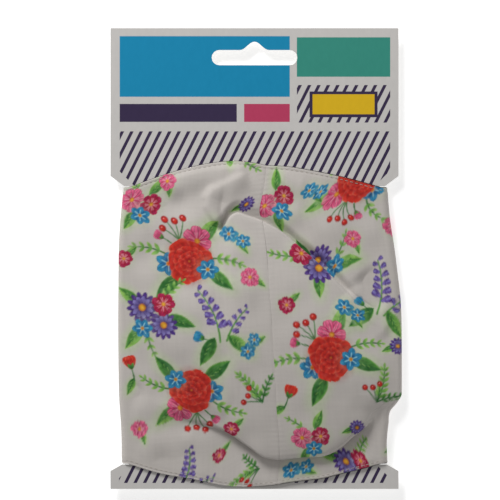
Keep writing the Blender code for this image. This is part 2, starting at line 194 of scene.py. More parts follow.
# Swell of the upper band just above its crease: across, share of BAND_SWELL
BAND_SWELL_ACROSS = {
    LEFT: ((0.0, 0.7), (0.15, 1.0), (0.25, 1.0), (0.32, 0.6), (0.4, 0.1), (0.5, 0.0), (1.0, 0.0)),
    RIGHT: (
        (0.0, 0.7), (0.18, 0.9), (0.3, 1.0), (0.45, 1.0), (0.6, 0.8), (0.75, 0.4), (0.9, 0.0),
        (1.0, 0.0),
    ),
}

# How gently the dome rises from its lower and from its upper crease: across, power at each
DOME_RISE = {
    LEFT: (
        (0.0, 0.75, 0.75), (0.2, 0.8, 0.9), (0.4, 1.0, 1.25), (0.6, 1.25, 1.5), (0.8, 1.5, 1.6),
        (1.0, 1.6, 1.6),
    ),
    RIGHT: (
        (0.0, 0.75, 0.75), (0.3, 0.72, 0.8), (0.5, 0.68, 0.95), (0.75, 0.6, 1.35), (1.0, 0.62, 1.6),
    ),
}

# How the dome's crown falls away from the seam to the outer edge: across, share of CROWN
CROWN_ACROSS = {
    LEFT: ((0.0, 0.94), (0.2, 1.0), (0.45, 0.97), (0.65, 0.78), (0.82, 0.38), (0.93, 0.1), (1.0, 0.0)),
    RIGHT: ((0.0, 0.94), (0.2, 1.0), (0.5, 0.97), (0.72, 0.8), (0.87, 0.44), (0.95, 0.16), (1.0, 0.05)),
}

# Soft folds: height, then width to the left and to the right of the fold's line, as shares of
# FOLD_HEIGHT and FOLD_WIDTH, then the line along its top as (across, up) points
FOLDS = {
    LEFT: (
        (0.62, 0.75, 0.38, (
            (0.1, 1.05), (0.18, 1.03), (0.27, 1.005), (0.35, 0.985), (0.38, 0.962), (0.365, 0.93),
            (0.33, 0.893), (0.28, 0.858),
        )),
        (-0.28, 0.35, 0.7, (
            (0.34, 1.03), (0.42, 1.0), (0.445, 0.962), (0.425, 0.925), (0.385, 0.885),
            (0.335, 0.85),
        )),
        (0.55, 1.0, 0.9, ((0.72, 0.985), (0.57, 1.014), (0.43, 1.036), (0.25, 1.062), (0.12, 1.068))),
        (-0.4, 0.9, 0.9, ((0.86, 0.903), (0.73, 0.921), (0.6, 0.939), (0.5, 0.957))),
        (0.36, 0.9, 0.9, ((0.95, 0.215), (0.86, 0.219), (0.66, 0.212), (0.44, 0.215), (0.29, 0.19))),
        (-0.3, 0.8, 1.1, ((0.99, 0.262), (0.9, 0.258), (0.8, 0.252))),
        (-0.3, 0.8, 0.8, ((0.77, 0.158), (0.65, 0.139), (0.53, 0.121))),
    ),
    RIGHT: (
        (0.5, 0.6, 1.4, ((0.6, 0.635), (0.7, 0.58), (0.78, 0.54), (0.86, 0.505), (0.93, 0.47))),
        (-0.55, 1.1, 0.7, ((0.68, 0.69), (0.76, 0.64), (0.83, 0.596), (0.9, 0.56))),
        (0.36, 0.9, 0.9, ((0.05, 1.03), (0.14, 1.018), (0.37, 0.989))),
        (-0.3, 0.8, 0.8, ((0.05, 0.968), (0.16, 0.95), (0.32, 0.932))),
        (0.34, 0.8, 1.0, ((0.95, 0.76), (0.96, 0.7), (0.88, 0.6), (0.9, 0.52))),
    ),
}

# Where folds and wrinkles fade out: share of the way across at the edge and at the seam, what
# is left of them at the seam, and metres from the hems
FADE_AT_EDGE = 0.10
FADE_AT_SEAM = 0.15
LEFT_AT_SEAM = 0.35
FADE_AT_HEM = 0.004

# Fine relief of the cloth: its wrinkles, the groove of the seam and of the rows of stitches,
# then the thread, its girth along a stitch as (share of the way, share of the radius), the parts
# that a stitch's pitch is cut into and the rows at each end of an ear hem that hold no stitch
WRINKLE_HEIGHT = 0.00012
WRINKLE_LENGTHS = (0.007, 0.024)
WRINKLE_WAVES = 28
WRINKLE_SHARE = 8
WRINKLE_SEED = 40
SEAM_GROOVE = 0.00011
SEAM_GROOVE_WIDTH = 0.0006
PUCKER_HEIGHT = 0.00003
PUCKER_REACH = 0.0035
STITCH_INSET = 0.0016
STITCH_PITCH = 0.0022
STITCH_GROOVE = 0.00014
STITCH_GROOVE_WIDTH = 0.0005
EDGE_ROUND = 0.0007
EDGE_THINNING = 0.8
THREAD_RADIUS = 0.00014
THREAD_SIDES = 6
THREAD_BOW = 0.9
THREAD_SINK = 0.75
THREAD_GIRTH = ((0.0, 0.35), (0.12, 0.8), (0.3, 1.0), (0.7, 1.0), (0.88, 0.8), (1.0, 0.35))
STITCH_CUTS = 4
EAR_ENDS = 10

# Maps of a sheet: metres to the unit on the flat one, then the places and sizes on the one for
# baking of the outside, the inside and the rim's small faces
CHART_SIZE = 0.2
OUTER_TILE = ((0.01, 0.01), (0.73, 0.98))
INNER_TILE = ((0.76, 0.01), (0.23, 0.40))
RIM_TILE = ((0.76, 0.44), (0.23, 0.55))
RIM_CELLS = 44
RIM_CORNERS = ((0.2, 0.2), (0.8, 0.2), (0.2, 0.8))

# Camera, straight above the card
CAMERA_X = -0.0027
CAMERA_Y = 0.0037
CAMERA_HEIGHT = 1.6
VIEW_WIDTH = 0.217
SENSOR = 36.0
CAMERA_CLIP = (0.1, 10.0)

# Lights: place, size and power; the floor's size, its depth below the card and its own glow
KEY_LIGHT = ((-0.42, 0.87, 0.58), 0.40, 11.0)
FILL_LIGHT = ((0.9, -0.5, 0.9), 1.0, 1.8)
WORLD_LIGHT = 0.28
FLOOR_SIZE = 6.0
FLOOR_DEPTH = 0.0002
FLOOR_GLOW = 0.55


def read_table(rows, column, at):
    """A smooth curve through one column of a table, read at the given places."""
    places = np.array([row[0] for row in rows])
    values = np.array([row[column] for row in rows])
    slopes = np.gradient(values, places)
    at = np.clip(at, places[0], places[-1])
    index = np.clip(np.searchsorted(places, at, side="right") - 1, 0, len(places) - 2)
    span = places[index + 1] - places[index]
    t = (at - places[index]) / span
    from_value = (1 + 2 * t) * (1 - t) ** 2 * values[index]
    to_value = t**2 * (3 - 2 * t) * values[index + 1]
    from_slope = t * (1 - t) ** 2 * span * slopes[index]
    to_slope = t**2 * (t - 1) * span * slopes[index + 1]
    return from_value + to_value + from_slope + to_slope


def run_along(points, axis=0):
    """The distance to each point from the first one, along a line or along an axis of a grid."""
    steps = np.linalg.norm(np.diff(points, axis=axis), axis=-1)
    return np.insert(np.cumsum(steps, axis=axis), 0, 0.0, axis=axis)


def ease(share):
    """From 0 to 1 with level ends."""
    share = np.clip(share, 0.0, 1.0)
    return share * share * (3 - 2 * share)


def up_share(y):
    return (y - CORNER_BOTTOM) / MASK_SIDE


def seam_x(y):
    return NECK_HALF * read_table(SEAM, 1, up_share(y))


def edge_x(side, y):
    """The mask's outline at the card's edge, seen from the front."""
    bulge = np.clip(read_table(EDGE[side], 1, up_share(y)), 0.0, 1.0)
    return side * (NECK_HALF + WRAP_REACH + BULGE * bulge)


def doubled_over(tuck):
    """How far a tuck has turned over: 0 is level and 1 is right over."""
    return (1 - math.cos(math.pi * math.sqrt(tuck))) / 2


def overlap_at(tuck):
    """The length of cloth that lies doubled back in a tuck."""
    return TUCK_OVERLAP * tuck**2


def tuck_path(tuck):
    """The cloth's middle line through a tuck seen from the side, from the band up to the dome."""
    turn = math.pi * math.sqrt(tuck)
    overlap = overlap_at(tuck)
    angles = np.linspace(0.0, turn, TUCK_STEPS + 1)
    rise = TUCK_RADIUS * np.stack([np.sin(angles), 1 - np.cos(angles)], axis=1)
    run = overlap * np.array([math.cos(turn), math.sin(turn)])
    level = 2 * rise[-1] + run - rise[::-1]
    path = np.concatenate([rise, level])
    path[:, 0] += TUCK_SPREAD * (1 - doubled_over(tuck)) * np.linspace(0.0, 1.0, len(path))
    return path


def tuck_in_place(crease, slope, upper):
    """A tuck's (y, z above the band) points, its rim's outer face on the crease line."""
    y, tuck, lift = crease
    path = tuck_path(tuck)
    rim = (overlap_at(tuck) / 2 + TUCK_RADIUS + CLOTH / 2) * doubled_over(tuck)
    stretch = math.sqrt(1 + slope**2)
    along = (path[:, 0] - path[-1, 0] / 2 + rim) * stretch
    if upper:
        along = -along
    points = np.stack([y + along, path[:, 1] + lift], axis=1)
    return points[::-1] if upper else points


def crease_at(table, side, across, step=0.01):
    """A crease's height, tuck and band lift at one place across, and its slope in the front view."""
    before, after = max(across - step, 0.0), min(across + step, 1.0)
    y = CORNER_BOTTOM + MASK_SIDE * float(read_table(table, 1, across))
    climb = float(read_table(table, 1, after) - read_table(table, 1, before)) * MASK_SIDE
    slope = climb / float((after - before) * abs(edge_x(side, 0.0) - seam_x(0.0)))
    tuck = max(float(read_table(table, 2, across)), 0.0)
    lift = BAND_LIFT * max(float(read_table(table, 3, across)), 0.0)
    return (y, tuck, lift), slope


def section(side, across):
    """The cloth's middle line from the bottom hem to the top hem, as (y, lift above the band)."""

    def read(table, column=1):
        return float(read_table(table[side], column, across))

    bottom = CORNER_BOTTOM - HEM_DROP * read(BOTTOM_HEM)
    top = CORNER_TOP + HEM_RISE * read(TOP_HEM)
    high_crease, high_slope = crease_at(UPPER_CREASE[side], side, across)
    low = tuck_in_place(*crease_at(LOWER_CREASE[side], side, across), upper=False)
    high = tuck_in_place(high_crease, high_slope, upper=True)

    share = np.linspace(0.0, 1.0, LOWER_BAND_STEPS + 1)[:-1]
    lower = np.stack([bottom + (low[0, 0] - bottom) * share, low[0, 1] * ease(share)], axis=1)

    share = np.linspace(0.0, 1.0, DOME_STEPS + 1)[1:-1]
    share = share + DOME_CROWDING * np.sin(-2 * math.pi * share)
    power = read(DOME_RISE) + (read(DOME_RISE, 2) - read(DOME_RISE)) * ease(share)
    dome = low[-1] + (high[0] - low[-1]) * share[:, None]
    dome[:, 1] += CROWN * read(CROWN_ACROSS) * np.sin(math.pi * share) ** power

    share = np.linspace(0.0, 1.0, UPPER_BAND_STEPS + 1)[1:]
    y = high[-1, 0] + (top - high[-1, 0]) * share
    swell = BAND_SWELL * read(BAND_SWELL_ACROSS) * ease((y - high_crease[0]) / SWELL_RISE)
    lift = high[-1, 1] * ease(1 - share) + swell * ease((1 - share) / SWELL_FALL)
    return np.concatenate([lower, low, dome, high, np.stack([y, lift], axis=1)])


def fold_height(side, x, y, fold):
    """How far one soft fold lifts the cloth at each point."""
    height, left_width, right_width, line = fold
    line = np.array(line)
    line_y = CORNER_BOTTOM + MASK_SIDE * line[:, 1]
    line_x = seam_x(line_y) + (edge_x(side, line_y) - seam_x(line_y)) * line[:, 0]
    nearest = np.full(x.shape, np.inf)
    signed = np.zeros(x.shape)
    place = np.zeros(x.shape)
    whole = 0.0
    for start_x, start_y, end_x, end_y in zip(line_x[:-1], line_y[:-1], line_x[1:], line_y[1:]):
        run = np.array([end_x - start_x, end_y - start_y])
        length = math.hypot(*run)
        share = ((x - start_x) * run[0] + (y - start_y) * run[1]) / length**2
        share = np.clip(share, 0.0, 1.0)
        off_x = x - (start_x + run[0] * share)
        off_y = y - (start_y + run[1] * share)
        distance = np.hypot(off_x, off_y)
        closer = distance < nearest
        to_left = run[0] * off_y - run[1] * off_x > 0
        signed = np.where(closer, np.where(to_left, -distance, distance), signed)
        place = np.where(closer, whole + share * length, place)
        nearest = np.minimum(nearest, distance)
        whole += length
    width = np.where(signed < 0, left_width, right_width) * FOLD_WIDTH
    taper = ease(np.minimum(place, whole - place) / FOLD_TAPER)
    return FOLD_HEIGHT * height * taper * np.exp(-((signed / width) ** 2))


def wrinkles(side, x, y):
    """Small uneven waves of the cloth, the same on every run."""
    draw = np.random.default_rng(WRINKLE_SEED + side)
    height = np.zeros(x.shape)
    for _ in range(WRINKLE_WAVES):
        length = draw.uniform(*WRINKLE_LENGTHS)
        heading = draw.uniform(0.0, math.pi)
        start = draw.uniform(0.0, 2 * math.pi)
        run = x * math.cos(heading) + y * math.sin(heading)
        height = height + (length / WRINKLE_LENGTHS[1]) * np.sin(2 * math.pi * run / length + start)
    return WRINKLE_HEIGHT * height / math.sqrt(WRINKLE_WAVES / WRINKLE_SHARE)


def front_points(side):
    """The middle surface in front of the card: an array of [row][column][x, y, z]."""
    columns = []
    for across in np.linspace(0.0, 1.0, FRONT_STEPS + 1):
        points = section(side, across)
        y = points[:, 0]
        lift = points[:, 1]
        seam = seam_x(y) + side * SEAM_JOIN / 2
        depth = (BAND_MID + lift - WING_MID) / 2
        edge = edge_x(side, y) - side * (CLOTH / 2 + depth)
        x = seam + (edge - seam) * across
        fade = ease((1 - across) / FADE_AT_EDGE)
        fade = fade * ease((y - y[0]) / FADE_AT_HEM) * ease((y[-1] - y) / FADE_AT_HEM)
        fade = fade * (LEFT_AT_SEAM + (1 - LEFT_AT_SEAM) * ease(across / FADE_AT_SEAM))
        for fold in FOLDS[side]:
            lift = lift + fade * fold_height(side, x, y, fold)
        lift = lift + fade * wrinkles(side, x, y)
        columns.append(np.stack([x, y, BAND_MID + np.maximum(lift, 0.0)], axis=1))
    return np.stack(columns, axis=1)


def wing_y(side, edge_y, x):
    """The height on the wing of the row that crosses the card's edge at edge_y."""
    end = EAR_GAP / 2
    inward = np.clip((NECK_HALF - np.abs(x)) / (NECK_HALF - end), 0.0, 1.0)
    top = CORNER_TOP - WING_TOP_FALL * inward
    bottom = CORNER_BOTTOM + WING_BOTTOM_RISE * inward
    return bottom + (top - bottom) * up_share(edge_y)


def panel_points(side):
    """The whole middle surface of one half of the mask, from the centre seam to the ear hem."""
    front = front_points(side)
    rim_x, rim_y, rim_z = front[:, -1, :].T
    depth = (rim_z - WING_MID) / 2
    columns = [front[:, i, :] for i in range(front.shape[1])]

    def add_column(x, y, z):
        columns.append(np.stack(np.broadcast_arrays(x, y, z), axis=1))

    for angle in np.linspace(math.pi / 2, -math.pi / 2, WRAP_STEPS + 1)[1:]:
        z = WING_MID + depth * (1 + math.sin(angle))
        add_column(rim_x + side * depth * math.cos(angle), rim_y, z)

    hem_x = side * (EAR_GAP / 2 + CLOTH / 2 + HEM_TURN_RADIUS)
    for share in np.linspace(0.0, 1.0, WING_STEPS + 1)[1:]:
        x = rim_x + (hem_x - rim_x) * share
        add_column(x, wing_y(side, rim_y, x), WING_MID)

    for angle in np.linspace(0.0, math.pi, HEM_TURN_STEPS + 1)[1:]:
        x = hem_x - side * HEM_TURN_RADIUS * math.sin(angle)
        z = WING_MID + HEM_TURN_RADIUS * (1 - math.cos(angle))
        add_column(x, wing_y(side, rim_y, x), z)

    hem_mid = WING_MID + 2 * HEM_TURN_RADIUS
    for share in np.linspace(0.0, 1.0, HEM_STEPS + 1)[1:]:
        x = hem_x + side * EAR_HEM_WIDTH * share
        add_column(x, wing_y(side, rim_y, x), hem_mid + (HEM_SEWN_MID - hem_mid) * ease(share))
    return np.stack(columns, axis=1)


def flat_chart(side, points):
    """Each point's place on the flat cloth: signed distance from the seam, height on the cut piece."""
    up = run_along(points)
    dome_row = LOWER_BAND_STEPS + 2 * (TUCK_STEPS + 1) + DOME_STEPS // 2
    up = up - up[dome_row] + points[dome_row, :, 1]
    out = np.abs(points[:, :, 0] - seam_x(points[:, :, 1]))
    out[:, FRONT_STEPS:] = out[:, FRONT_STEPS, None] + run_along(points[:, FRONT_STEPS:], 1)
    return side * out, up


def cut_size(out, up):
    """The width, length and area of the flat piece that a panel is cut to."""
    rim = [np.s_[0, :], np.s_[1:, -1], np.s_[-1, -2::-1], np.s_[-2:0:-1, 0]]
    x = np.concatenate([out[part] for part in rim])
    y = np.concatenate([up[part] for part in rim])
    area = abs(np.sum(x * np.roll(y, -1) - y * np.roll(x, -1))) / 2
    return float(np.ptp(x)), float(np.ptp(y)), float(area)


def surface_normals(side, points):
    """The outward direction at each point of the middle surface."""
    along = np.gradient(points, axis=0)
    across = np.gradient(points, axis=1)
    normal = side * np.cross(across, along)
    return normal / np.maximum(np.linalg.norm(normal, axis=2, keepdims=True), 1e-12)


def from_edges(points):
    """Each point's distance along the cloth from its bottom hem, top hem, seam and ear hem."""
    up = run_along(points)
    out = run_along(points, 1)
    return up, up[-1:] - up, out, out[:, -1:] - out


def outer_offset(points):
    """How far the outer face lies from the middle: less at rounded edges, seam and stitch rows."""
    bottom, top, seam, ear = from_edges(points)
    offset = np.full(seam.shape, CLOTH / 2)
    for row in (bottom, top, ear):
        groove = np.exp(-(((row - STITCH_INSET) / STITCH_GROOVE_WIDTH) ** 2))
        offset = offset - STITCH_GROOVE * groove
        inset = np.clip(1 - row / EDGE_ROUND, 0.0, 1.0)
        offset = offset - CLOTH / 2 * EDGE_THINNING * (1 - np.sqrt(1 - inset**2))
    offset = offset - SEAM_GROOVE * np.exp(-((seam / SEAM_GROOVE_WIDTH) ** 2))
    pucker = np.cos(2 * math.pi * bottom / STITCH_PITCH) * np.exp(-seam / PUCKER_REACH)
    return offset + PUCKER_HEIGHT * pucker * ease(seam / SEAM_GROOVE_WIDTH)


def grid_faces(first, rows, columns, flip):
    """Quads of a grid whose vertices are numbered row by row from first."""
    corner = first + np.arange(rows - 1)[:, None] * columns + np.arange(columns - 1)[None, :]
    above = corner + columns
    quads = np.stack([corner, corner + 1, above + 1, above], axis=2).reshape(-1, 4)
    return quads[:, ::-1] if flip else quads


def border(fine, coarse, flip):
    """Triangles between a fine edge and a coarse one that keeps every BACK_STRIDE-th point of it."""
    faces = []
    for i in range(len(coarse) - 1):
        run = fine[i * BACK_STRIDE : (i + 1) * BACK_STRIDE + 1]
        half = len(run) // 2
        faces += [(coarse[i], run[k], run[k + 1]) for k in range(half)]
        faces.append((coarse[i], run[half], coarse[i + 1]))
        faces += [(coarse[i + 1], run[k], run[k + 1]) for k in range(half, len(run) - 1)]
    return [face[::-1] for face in faces] if flip else faces


def add_maps(mesh, out, up):
    """Two maps: the flat cloth at CHART_SIZE to the unit, and one without overlaps for baking."""
    places = np.stack([out, up], axis=2)
    outer = places.reshape(-1, 2)
    flat = np.concatenate([outer, places[::BACK_STRIDE, ::BACK_STRIDE].reshape(-1, 2)])
    low = outer.min(axis=0)
    share = (flat - low) / np.ptp(outer, axis=0)
    share[: len(outer)] = OUTER_TILE[0] + share[: len(outer)] * OUTER_TILE[1]
    share[len(outer) :] = INNER_TILE[0] + share[len(outer) :] * INNER_TILE[1]
    corners = np.zeros(len(mesh.loops), dtype=np.int32)
    mesh.loops.foreach_get("vertex_index", corners)
    bake = share[corners]
    starts = np.array([face.loop_start for face in mesh.polygons if face.loop_total == 3])
    cells = np.arange(len(starts))
    origin = np.stack([cells % RIM_CELLS, cells // RIM_CELLS], axis=1)
    for k, corner in enumerate(RIM_CORNERS):
        bake[starts + k] = RIM_TILE[0] + (origin + corner) / RIM_CELLS * RIM_TILE[1]
    for name, values in (("flat_cloth", flat[corners] / CHART_SIZE), ("OFBake", bake)):
        layer = mesh.uv_layers.new(name=name)
        layer.data.foreach_set("uv", values.astype(np.float32).ravel())


def new_object(name, verts, faces):
    """A smooth object from points that are measured from the middle of the card."""
    verts = np.array(verts) + np.array([CARD_X, 0.0, 0.0])
    mesh = bpy.data.meshes.new(name)
    mesh.from_pydata(verts.tolist(), [], faces)
    mesh.update()
    mesh.shade_smooth()
    made = bpy.data.objects.new(name, mesh)
    bpy.context.scene.collection.objects.link(made)
    return made


def make_sheet(name, side, points):
    """A closed sheet of cloth round its middle surface: fine outside, coarser inside."""
    rows, columns = points.shape[:2]
    normals = surface_normals(side, points)
    outer = (points + normals * outer_offset(points)[:, :, None]).reshape(-1, 3)
    inner = (points - normals * CLOTH / 2)[::BACK_STRIDE, ::BACK_STRIDE]
    back_rows, back_columns = inner.shape[:2]
    front_ids = np.arange(rows * columns).reshape(rows, columns)
    back_ids = rows * columns + np.arange(back_rows * back_columns).reshape(back_rows, back_columns)
    faces = grid_faces(0, rows, columns, side == LEFT).tolist()
    faces += grid_faces(rows * columns, back_rows, back_columns, side == RIGHT).tolist()
    edges = (
        (front_ids[0], back_ids[0], side == RIGHT),
        (front_ids[-1], back_ids[-1], side == LEFT),
        (front_ids[:, 0], back_ids[:, 0], side == LEFT),
        (front_ids[:, -1], back_ids[:, -1], side == RIGHT),
    )
    for fine, coarse, flip in edges:
        faces += [tuple(map(int, face)) for face in border(fine, coarse, not flip)]
    sheet = new_object(name, np.concatenate([outer, inner.reshape(-1, 3)]), faces)
    mesh = sheet.data
    ends = np.zeros(2 * len(mesh.edges), dtype=np.int32)
    mesh.edges.foreach_get("vertices", ends)
    ends = ends.reshape(-1, 2)
    at_seam = np.all((ends < rows * columns) & (ends % columns == 0), axis=1)
    mesh.edges.foreach_set("use_edge_sharp", at_seam)
    add_maps(mesh, *flat_chart(side, points))
    return sheet


# Weave of the cotton, grain of the thread and of the card
YARN_PITCH = 0.00055
YARN_RELIEF = 0.00006
YARN_SLUB = 0.0011
YARN_RUN = 0.07
CLOUD_SIZE = 0.018
STRAND_SIZE = 0.0004
FIBRE_SIZE = 0.0016
FINE_RELIEF = 0.00003
FRONT_SKIN = 0.00003

# Print on the card, in mm from its middle: left, right, bottom and top of each colour panel and
# field of stripes, and the bounds of y - |x| and of y + |x| that cut the fields' corners off
CARD_INK_EDGE = 0.12
STRIPE_LEAN = math.radians(63.3)
STRIPE_WIDTH = 1.5
STRIPES = {"pitch": 4.11, "shift": 0.79}
SIDE_STRIPES = {"pitch": 4.09, "shift": 3.70}
STRIPE_FIELD = (-58.5, 58.9, 30.0, 55.2)
FOOT_FIELD = (-58.8, 58.0, -97.4, -89.0)
SIDE_FIELD = (18.4, 58.9, 59.0, 75.3)
FIELD_SLANT = (-20.7, 60.0)
FOOT_SLANT = (-90.0, -36.5)
CARD_WHITE = (0.790, 0.778, 0.765)
CARD_BOARD = (0.76, 0.75, 0.73)
CARD_INKS = {
    "blue": (0.02, 0.53, 0.70), "green": (0.20, 0.55, 0.49), "plum": (0.20, 0.15, 0.28),
    "pink": (0.72, 0.23, 0.37), "yellow": (0.86, 0.70, 0.08),
}
CARD_PANELS = (
    ("blue", -58.5, 15.3, 70.2, 96.5), ("green", 18.4, 58.9, 78.9, 96.0),
    ("plum", -58.5, -7.7, 59.3, 67.1), ("pink", -4.5, 15.3, 59.3, 67.1),
    ("plum", 23.9, 53.4, 61.3, 72.5), ("yellow", 25.2, 52.1, 62.6, 71.3),
)

# Print on the cloth: colours as seen, and sizes in metres on the flat cloth
GROUND = (0.758, 0.734, 0.712)
PRINT_EDGE = 0.00050
PETAL_FOOT = 0.75
RIM_COVER = 0.75
STREAKS = (9.0, 17.0)
WASH_CORE = 0.3
STEM_BEND = 0.12
INK_WAVES = 24
INK_POOLS = (0.0018, 0.0050)
INK_DEPTH = 0.07
INK_WASH = 0.07
INK_LIMIT = 2.0
FULL_INK = 0.2
INK_SEED = 7
PALETTE = {
    "crimson": (0.66, 0.11, 0.30), "rose": (0.88, 0.42, 0.56), "blush": (0.93, 0.68, 0.72),
    "scarlet": (0.83, 0.20, 0.13), "coral": (0.95, 0.50, 0.36), "ember": (0.58, 0.07, 0.09),
    "sky": (0.20, 0.56, 0.71), "deep_blue": (0.07, 0.34, 0.56), "ice": (0.66, 0.85, 0.88),
    "violet": (0.31, 0.20, 0.52), "plum": (0.19, 0.11, 0.32), "lavender": (0.52, 0.48, 0.74),
    "gold": (0.90, 0.68, 0.20), "amber": (0.76, 0.40, 0.12), "moss": (0.17, 0.40, 0.17),
    "leaf": (0.33, 0.58, 0.24), "spring": (0.58, 0.76, 0.36), "mist": (0.72, 0.82, 0.60),
}

# Colours of petals and leaves: at the base, at the tip and round the rim
PINK = ("crimson", "rose", "crimson")
RUBY = ("ember", "crimson", "ember")
AQUA = ("deep_blue", "sky", "deep_blue")
FIRE = ("ember", "scarlet", "coral")
BELL = ("lavender", "violet", "plum")
LIT_BELL = ("lavender", "lavender", "violet")
SHADED_LEAF = ("moss", "leaf", "leaf")
LIT_LEAF = ("leaf", "spring", "spring")


class ClothPrint:
    """Colours for points of the flat cloth, painted one soft-edged shape over another."""

    def __init__(self, out, up):
        self.points = np.stack([out.ravel(), up.ravel()], axis=1)
        self.colour = np.tile(np.array(GROUND), (len(self.points), 1))
        self.window = np.arange(len(self.points))
        self.seen = self.points

    def look_at(self, middle, reach):
        """Keeps the painting that follows to the points within reach of a place."""
        offset = np.abs(self.points - np.array(middle))
        self.window = np.flatnonzero(np.max(offset, axis=1) < reach)
        self.seen = self.points[self.window]

    def near(self, middle, reach):
        """The numbers of the points within reach of a place, and their offsets from it."""
        offset = self.seen - np.array(middle)
        found = np.flatnonzero((np.abs(offset[:, 0]) < reach) & (np.abs(offset[:, 1]) < reach))
        return self.window[found], offset[found]

    def dried(self):
        """The colours with the ink gathered darker in some places and thinner in others."""
        draw = np.random.default_rng(INK_SEED)
        pool = np.zeros(len(self.points))
        for _ in range(INK_WAVES):
            length = draw.uniform(*INK_POOLS)
            heading = draw.uniform(0.0, 2 * math.pi)
            run = self.points[:, 0] * math.cos(heading) + self.points[:, 1] * math.sin(heading)
            pool = pool + np.sin(2 * math.pi * run / length + draw.uniform(0.0, 2 * math.pi))
        pool = pool / math.sqrt(INK_WAVES / 2)
        ink = self.colour - np.array(GROUND)
        thinner = self.colour * (1 - INK_DEPTH * np.clip(-pool, 0.0, INK_LIMIT))[:, None]
        depth = np.clip(np.abs(ink).max(axis=1) / FULL_INK, 0.0, 1.0)[:, None]
        washed = thinner - ink * (INK_WASH * np.clip(pool, 0.0, INK_LIMIT))[:, None]
        return self.colour * (1 - depth) + washed * depth

    def lay(self, found, cover, colour):
        """Lays colour over the found points where cover is 1, and leaves them where it is 0."""
        cover = np.clip(cover, 0.0, 1.0)[:, None]
        self.colour[found] = self.colour[found] * (1 - cover) + np.asarray(colour) * cover


def blend_colours(first, second, share):
    share = np.clip(share, 0.0, 1.0)[:, None]
    return np.array(PALETTE[first]) * (1 - share) + np.array(PALETTE[second]) * share


def turned(offset, angle):
    """Offsets seen along and across a direction."""
    c, s = math.cos(angle), math.sin(angle)
    return offset[:, 0] * c + offset[:, 1] * s, offset[:, 1] * c - offset[:, 0] * s


def step_from(place, angle, distance):
    return (place[0] + distance * math.cos(angle), place[1] + distance * math.sin(angle))


def paint_petal(cloth, base, angle, length, width, colours, blunt=0.42, veins=0.0, rim=0.16, only=0):
    """A petal or leaf blade from its base, or only the half of it on one side."""
    found, offset = cloth.near(base, length * 1.1 + width)
    along, aside = turned(offset, angle)
    share = np.clip(along / length, 0.0, 1.0)
    peak = PETAL_FOOT / (PETAL_FOOT + blunt)
    shape = (share / peak) ** PETAL_FOOT * ((1 - share) / (1 - peak)) ** blunt
    half = width / 2 * np.clip(shape, 0.0, 1.05)
    beyond = np.maximum(along - length, -along)
    depth = np.where(beyond > 0, -np.hypot(beyond, aside), half - np.abs(aside))
    cover = depth / PRINT_EDGE + 0.5
    if only:
        cover = np.minimum(cover, only * aside / PRINT_EDGE + 0.5)
    inner, tip, edge = colours
    colour = blend_colours(inner, tip, share * 1.15)
    across = aside / np.maximum(half, 1e-6)
    streak = np.sin(across * STREAKS[0] + share * 2.0)
    streak = streak + 0.8 * np.sin(across * STREAKS[1] - share * 5.0 + angle)
    colour = colour * (1 + veins * streak * (1 - 0.5 * share))[:, None]
    rim_cover = RIM_COVER * np.clip(1 - depth / (rim * width / 2 + 1e-9), 0.0, 1.0)[:, None]
    cloth.lay(found, cover, colour * (1 - rim_cover) + np.array(PALETTE[edge]) * rim_cover)


def paint_disc(cloth, middle, radius, inner, rim):
    found, offset = cloth.near(middle, radius * 1.5)
    distance = np.hypot(offset[:, 0], offset[:, 1])
    colour = blend_colours(inner, rim, (distance / radius) ** 2)
    cloth.lay(found, (radius - distance) / PRINT_EDGE + 0.5, colour)


def paint_wash(cloth, middle, angle, length, width, colour, strength):
    """A cloud of thin colour, pale under leaves and flowers or dark over petals."""
    found, offset = cloth.near(middle, length)
    along, aside = turned(offset, angle)
    spread = np.hypot(along / (length / 2), aside / (width / 2))
    cloth.lay(found, strength * (1 - ease(spread - WASH_CORE)), np.array(PALETTE[colour]))


def paint_stem(cloth, base, angle, length, bend, width, colour):
    """A curved stem. Returns its points and its direction at each."""
    count = max(math.ceil(abs(bend) / STEM_BEND), 1)
    places = [base]
    headings = [angle]
    for i in range(count):
        headings.append(angle + bend * (i + 0.5) / count)
        places.append(step_from(places[-1], headings[-1], length / count))
    found, offset = cloth.near(base, length + width)
    nearest = np.full(len(found), np.inf)
    for i in range(count):
        start = np.array(places[i]) - np.array(base)
        along, aside = turned(offset - start, headings[i + 1])
        past = along - np.clip(along, 0.0, length / count)
        taper = width / 2 * (1 - 0.5 * (i + 0.5) / count)
        nearest = np.minimum(nearest, np.hypot(past, aside) - taper)
    cloth.lay(found, 0.5 - nearest / PRINT_EDGE, np.array(PALETTE[colour]))
    return places, headings


def along_stem(places, headings, share):
    """The point and the direction at a share of a stem's length."""
    at = share * (len(places) - 1)
    i = min(int(at), len(places) - 2)
    part = at - i
    point = tuple(a + (b - a) * part for a, b in zip(places[i], places[i + 1]))
    return point, headings[i + 1]


def paint_leaf(cloth, base, angle, length, dark=False):
    """A broad leaf: a shaded and a lit half, a midrib and side veins."""
    width = length * 0.40
    middle = step_from(base, angle, length * 0.5)
    paint_wash(cloth, middle, angle, length * 1.45, width * 1.9, "mist", 0.50)
    for only, shades in ((0, ("moss", "leaf", "spring")), (1, LIT_LEAF)):
        if dark:
            shades = ("moss", "leaf", "spring") if only else ("moss", "moss", "leaf")
        paint_petal(cloth, base, angle, length, width, shades, 1.1, 0.05, 0.2, only)
    paint_stem(cloth, base, angle, length * 0.92, 0.0, 0.00040, "moss")
    for share in (0.18, 0.36, 0.54):
        place = step_from(base, angle, length * share)
        for way, colour in ((-1, "spring"), (1, "moss")):
            vein = width * 0.42 * (1.1 - share)
            paint_stem(cloth, place, angle + way * 0.62, vein, -way * 0.35, 0.00030, colour)


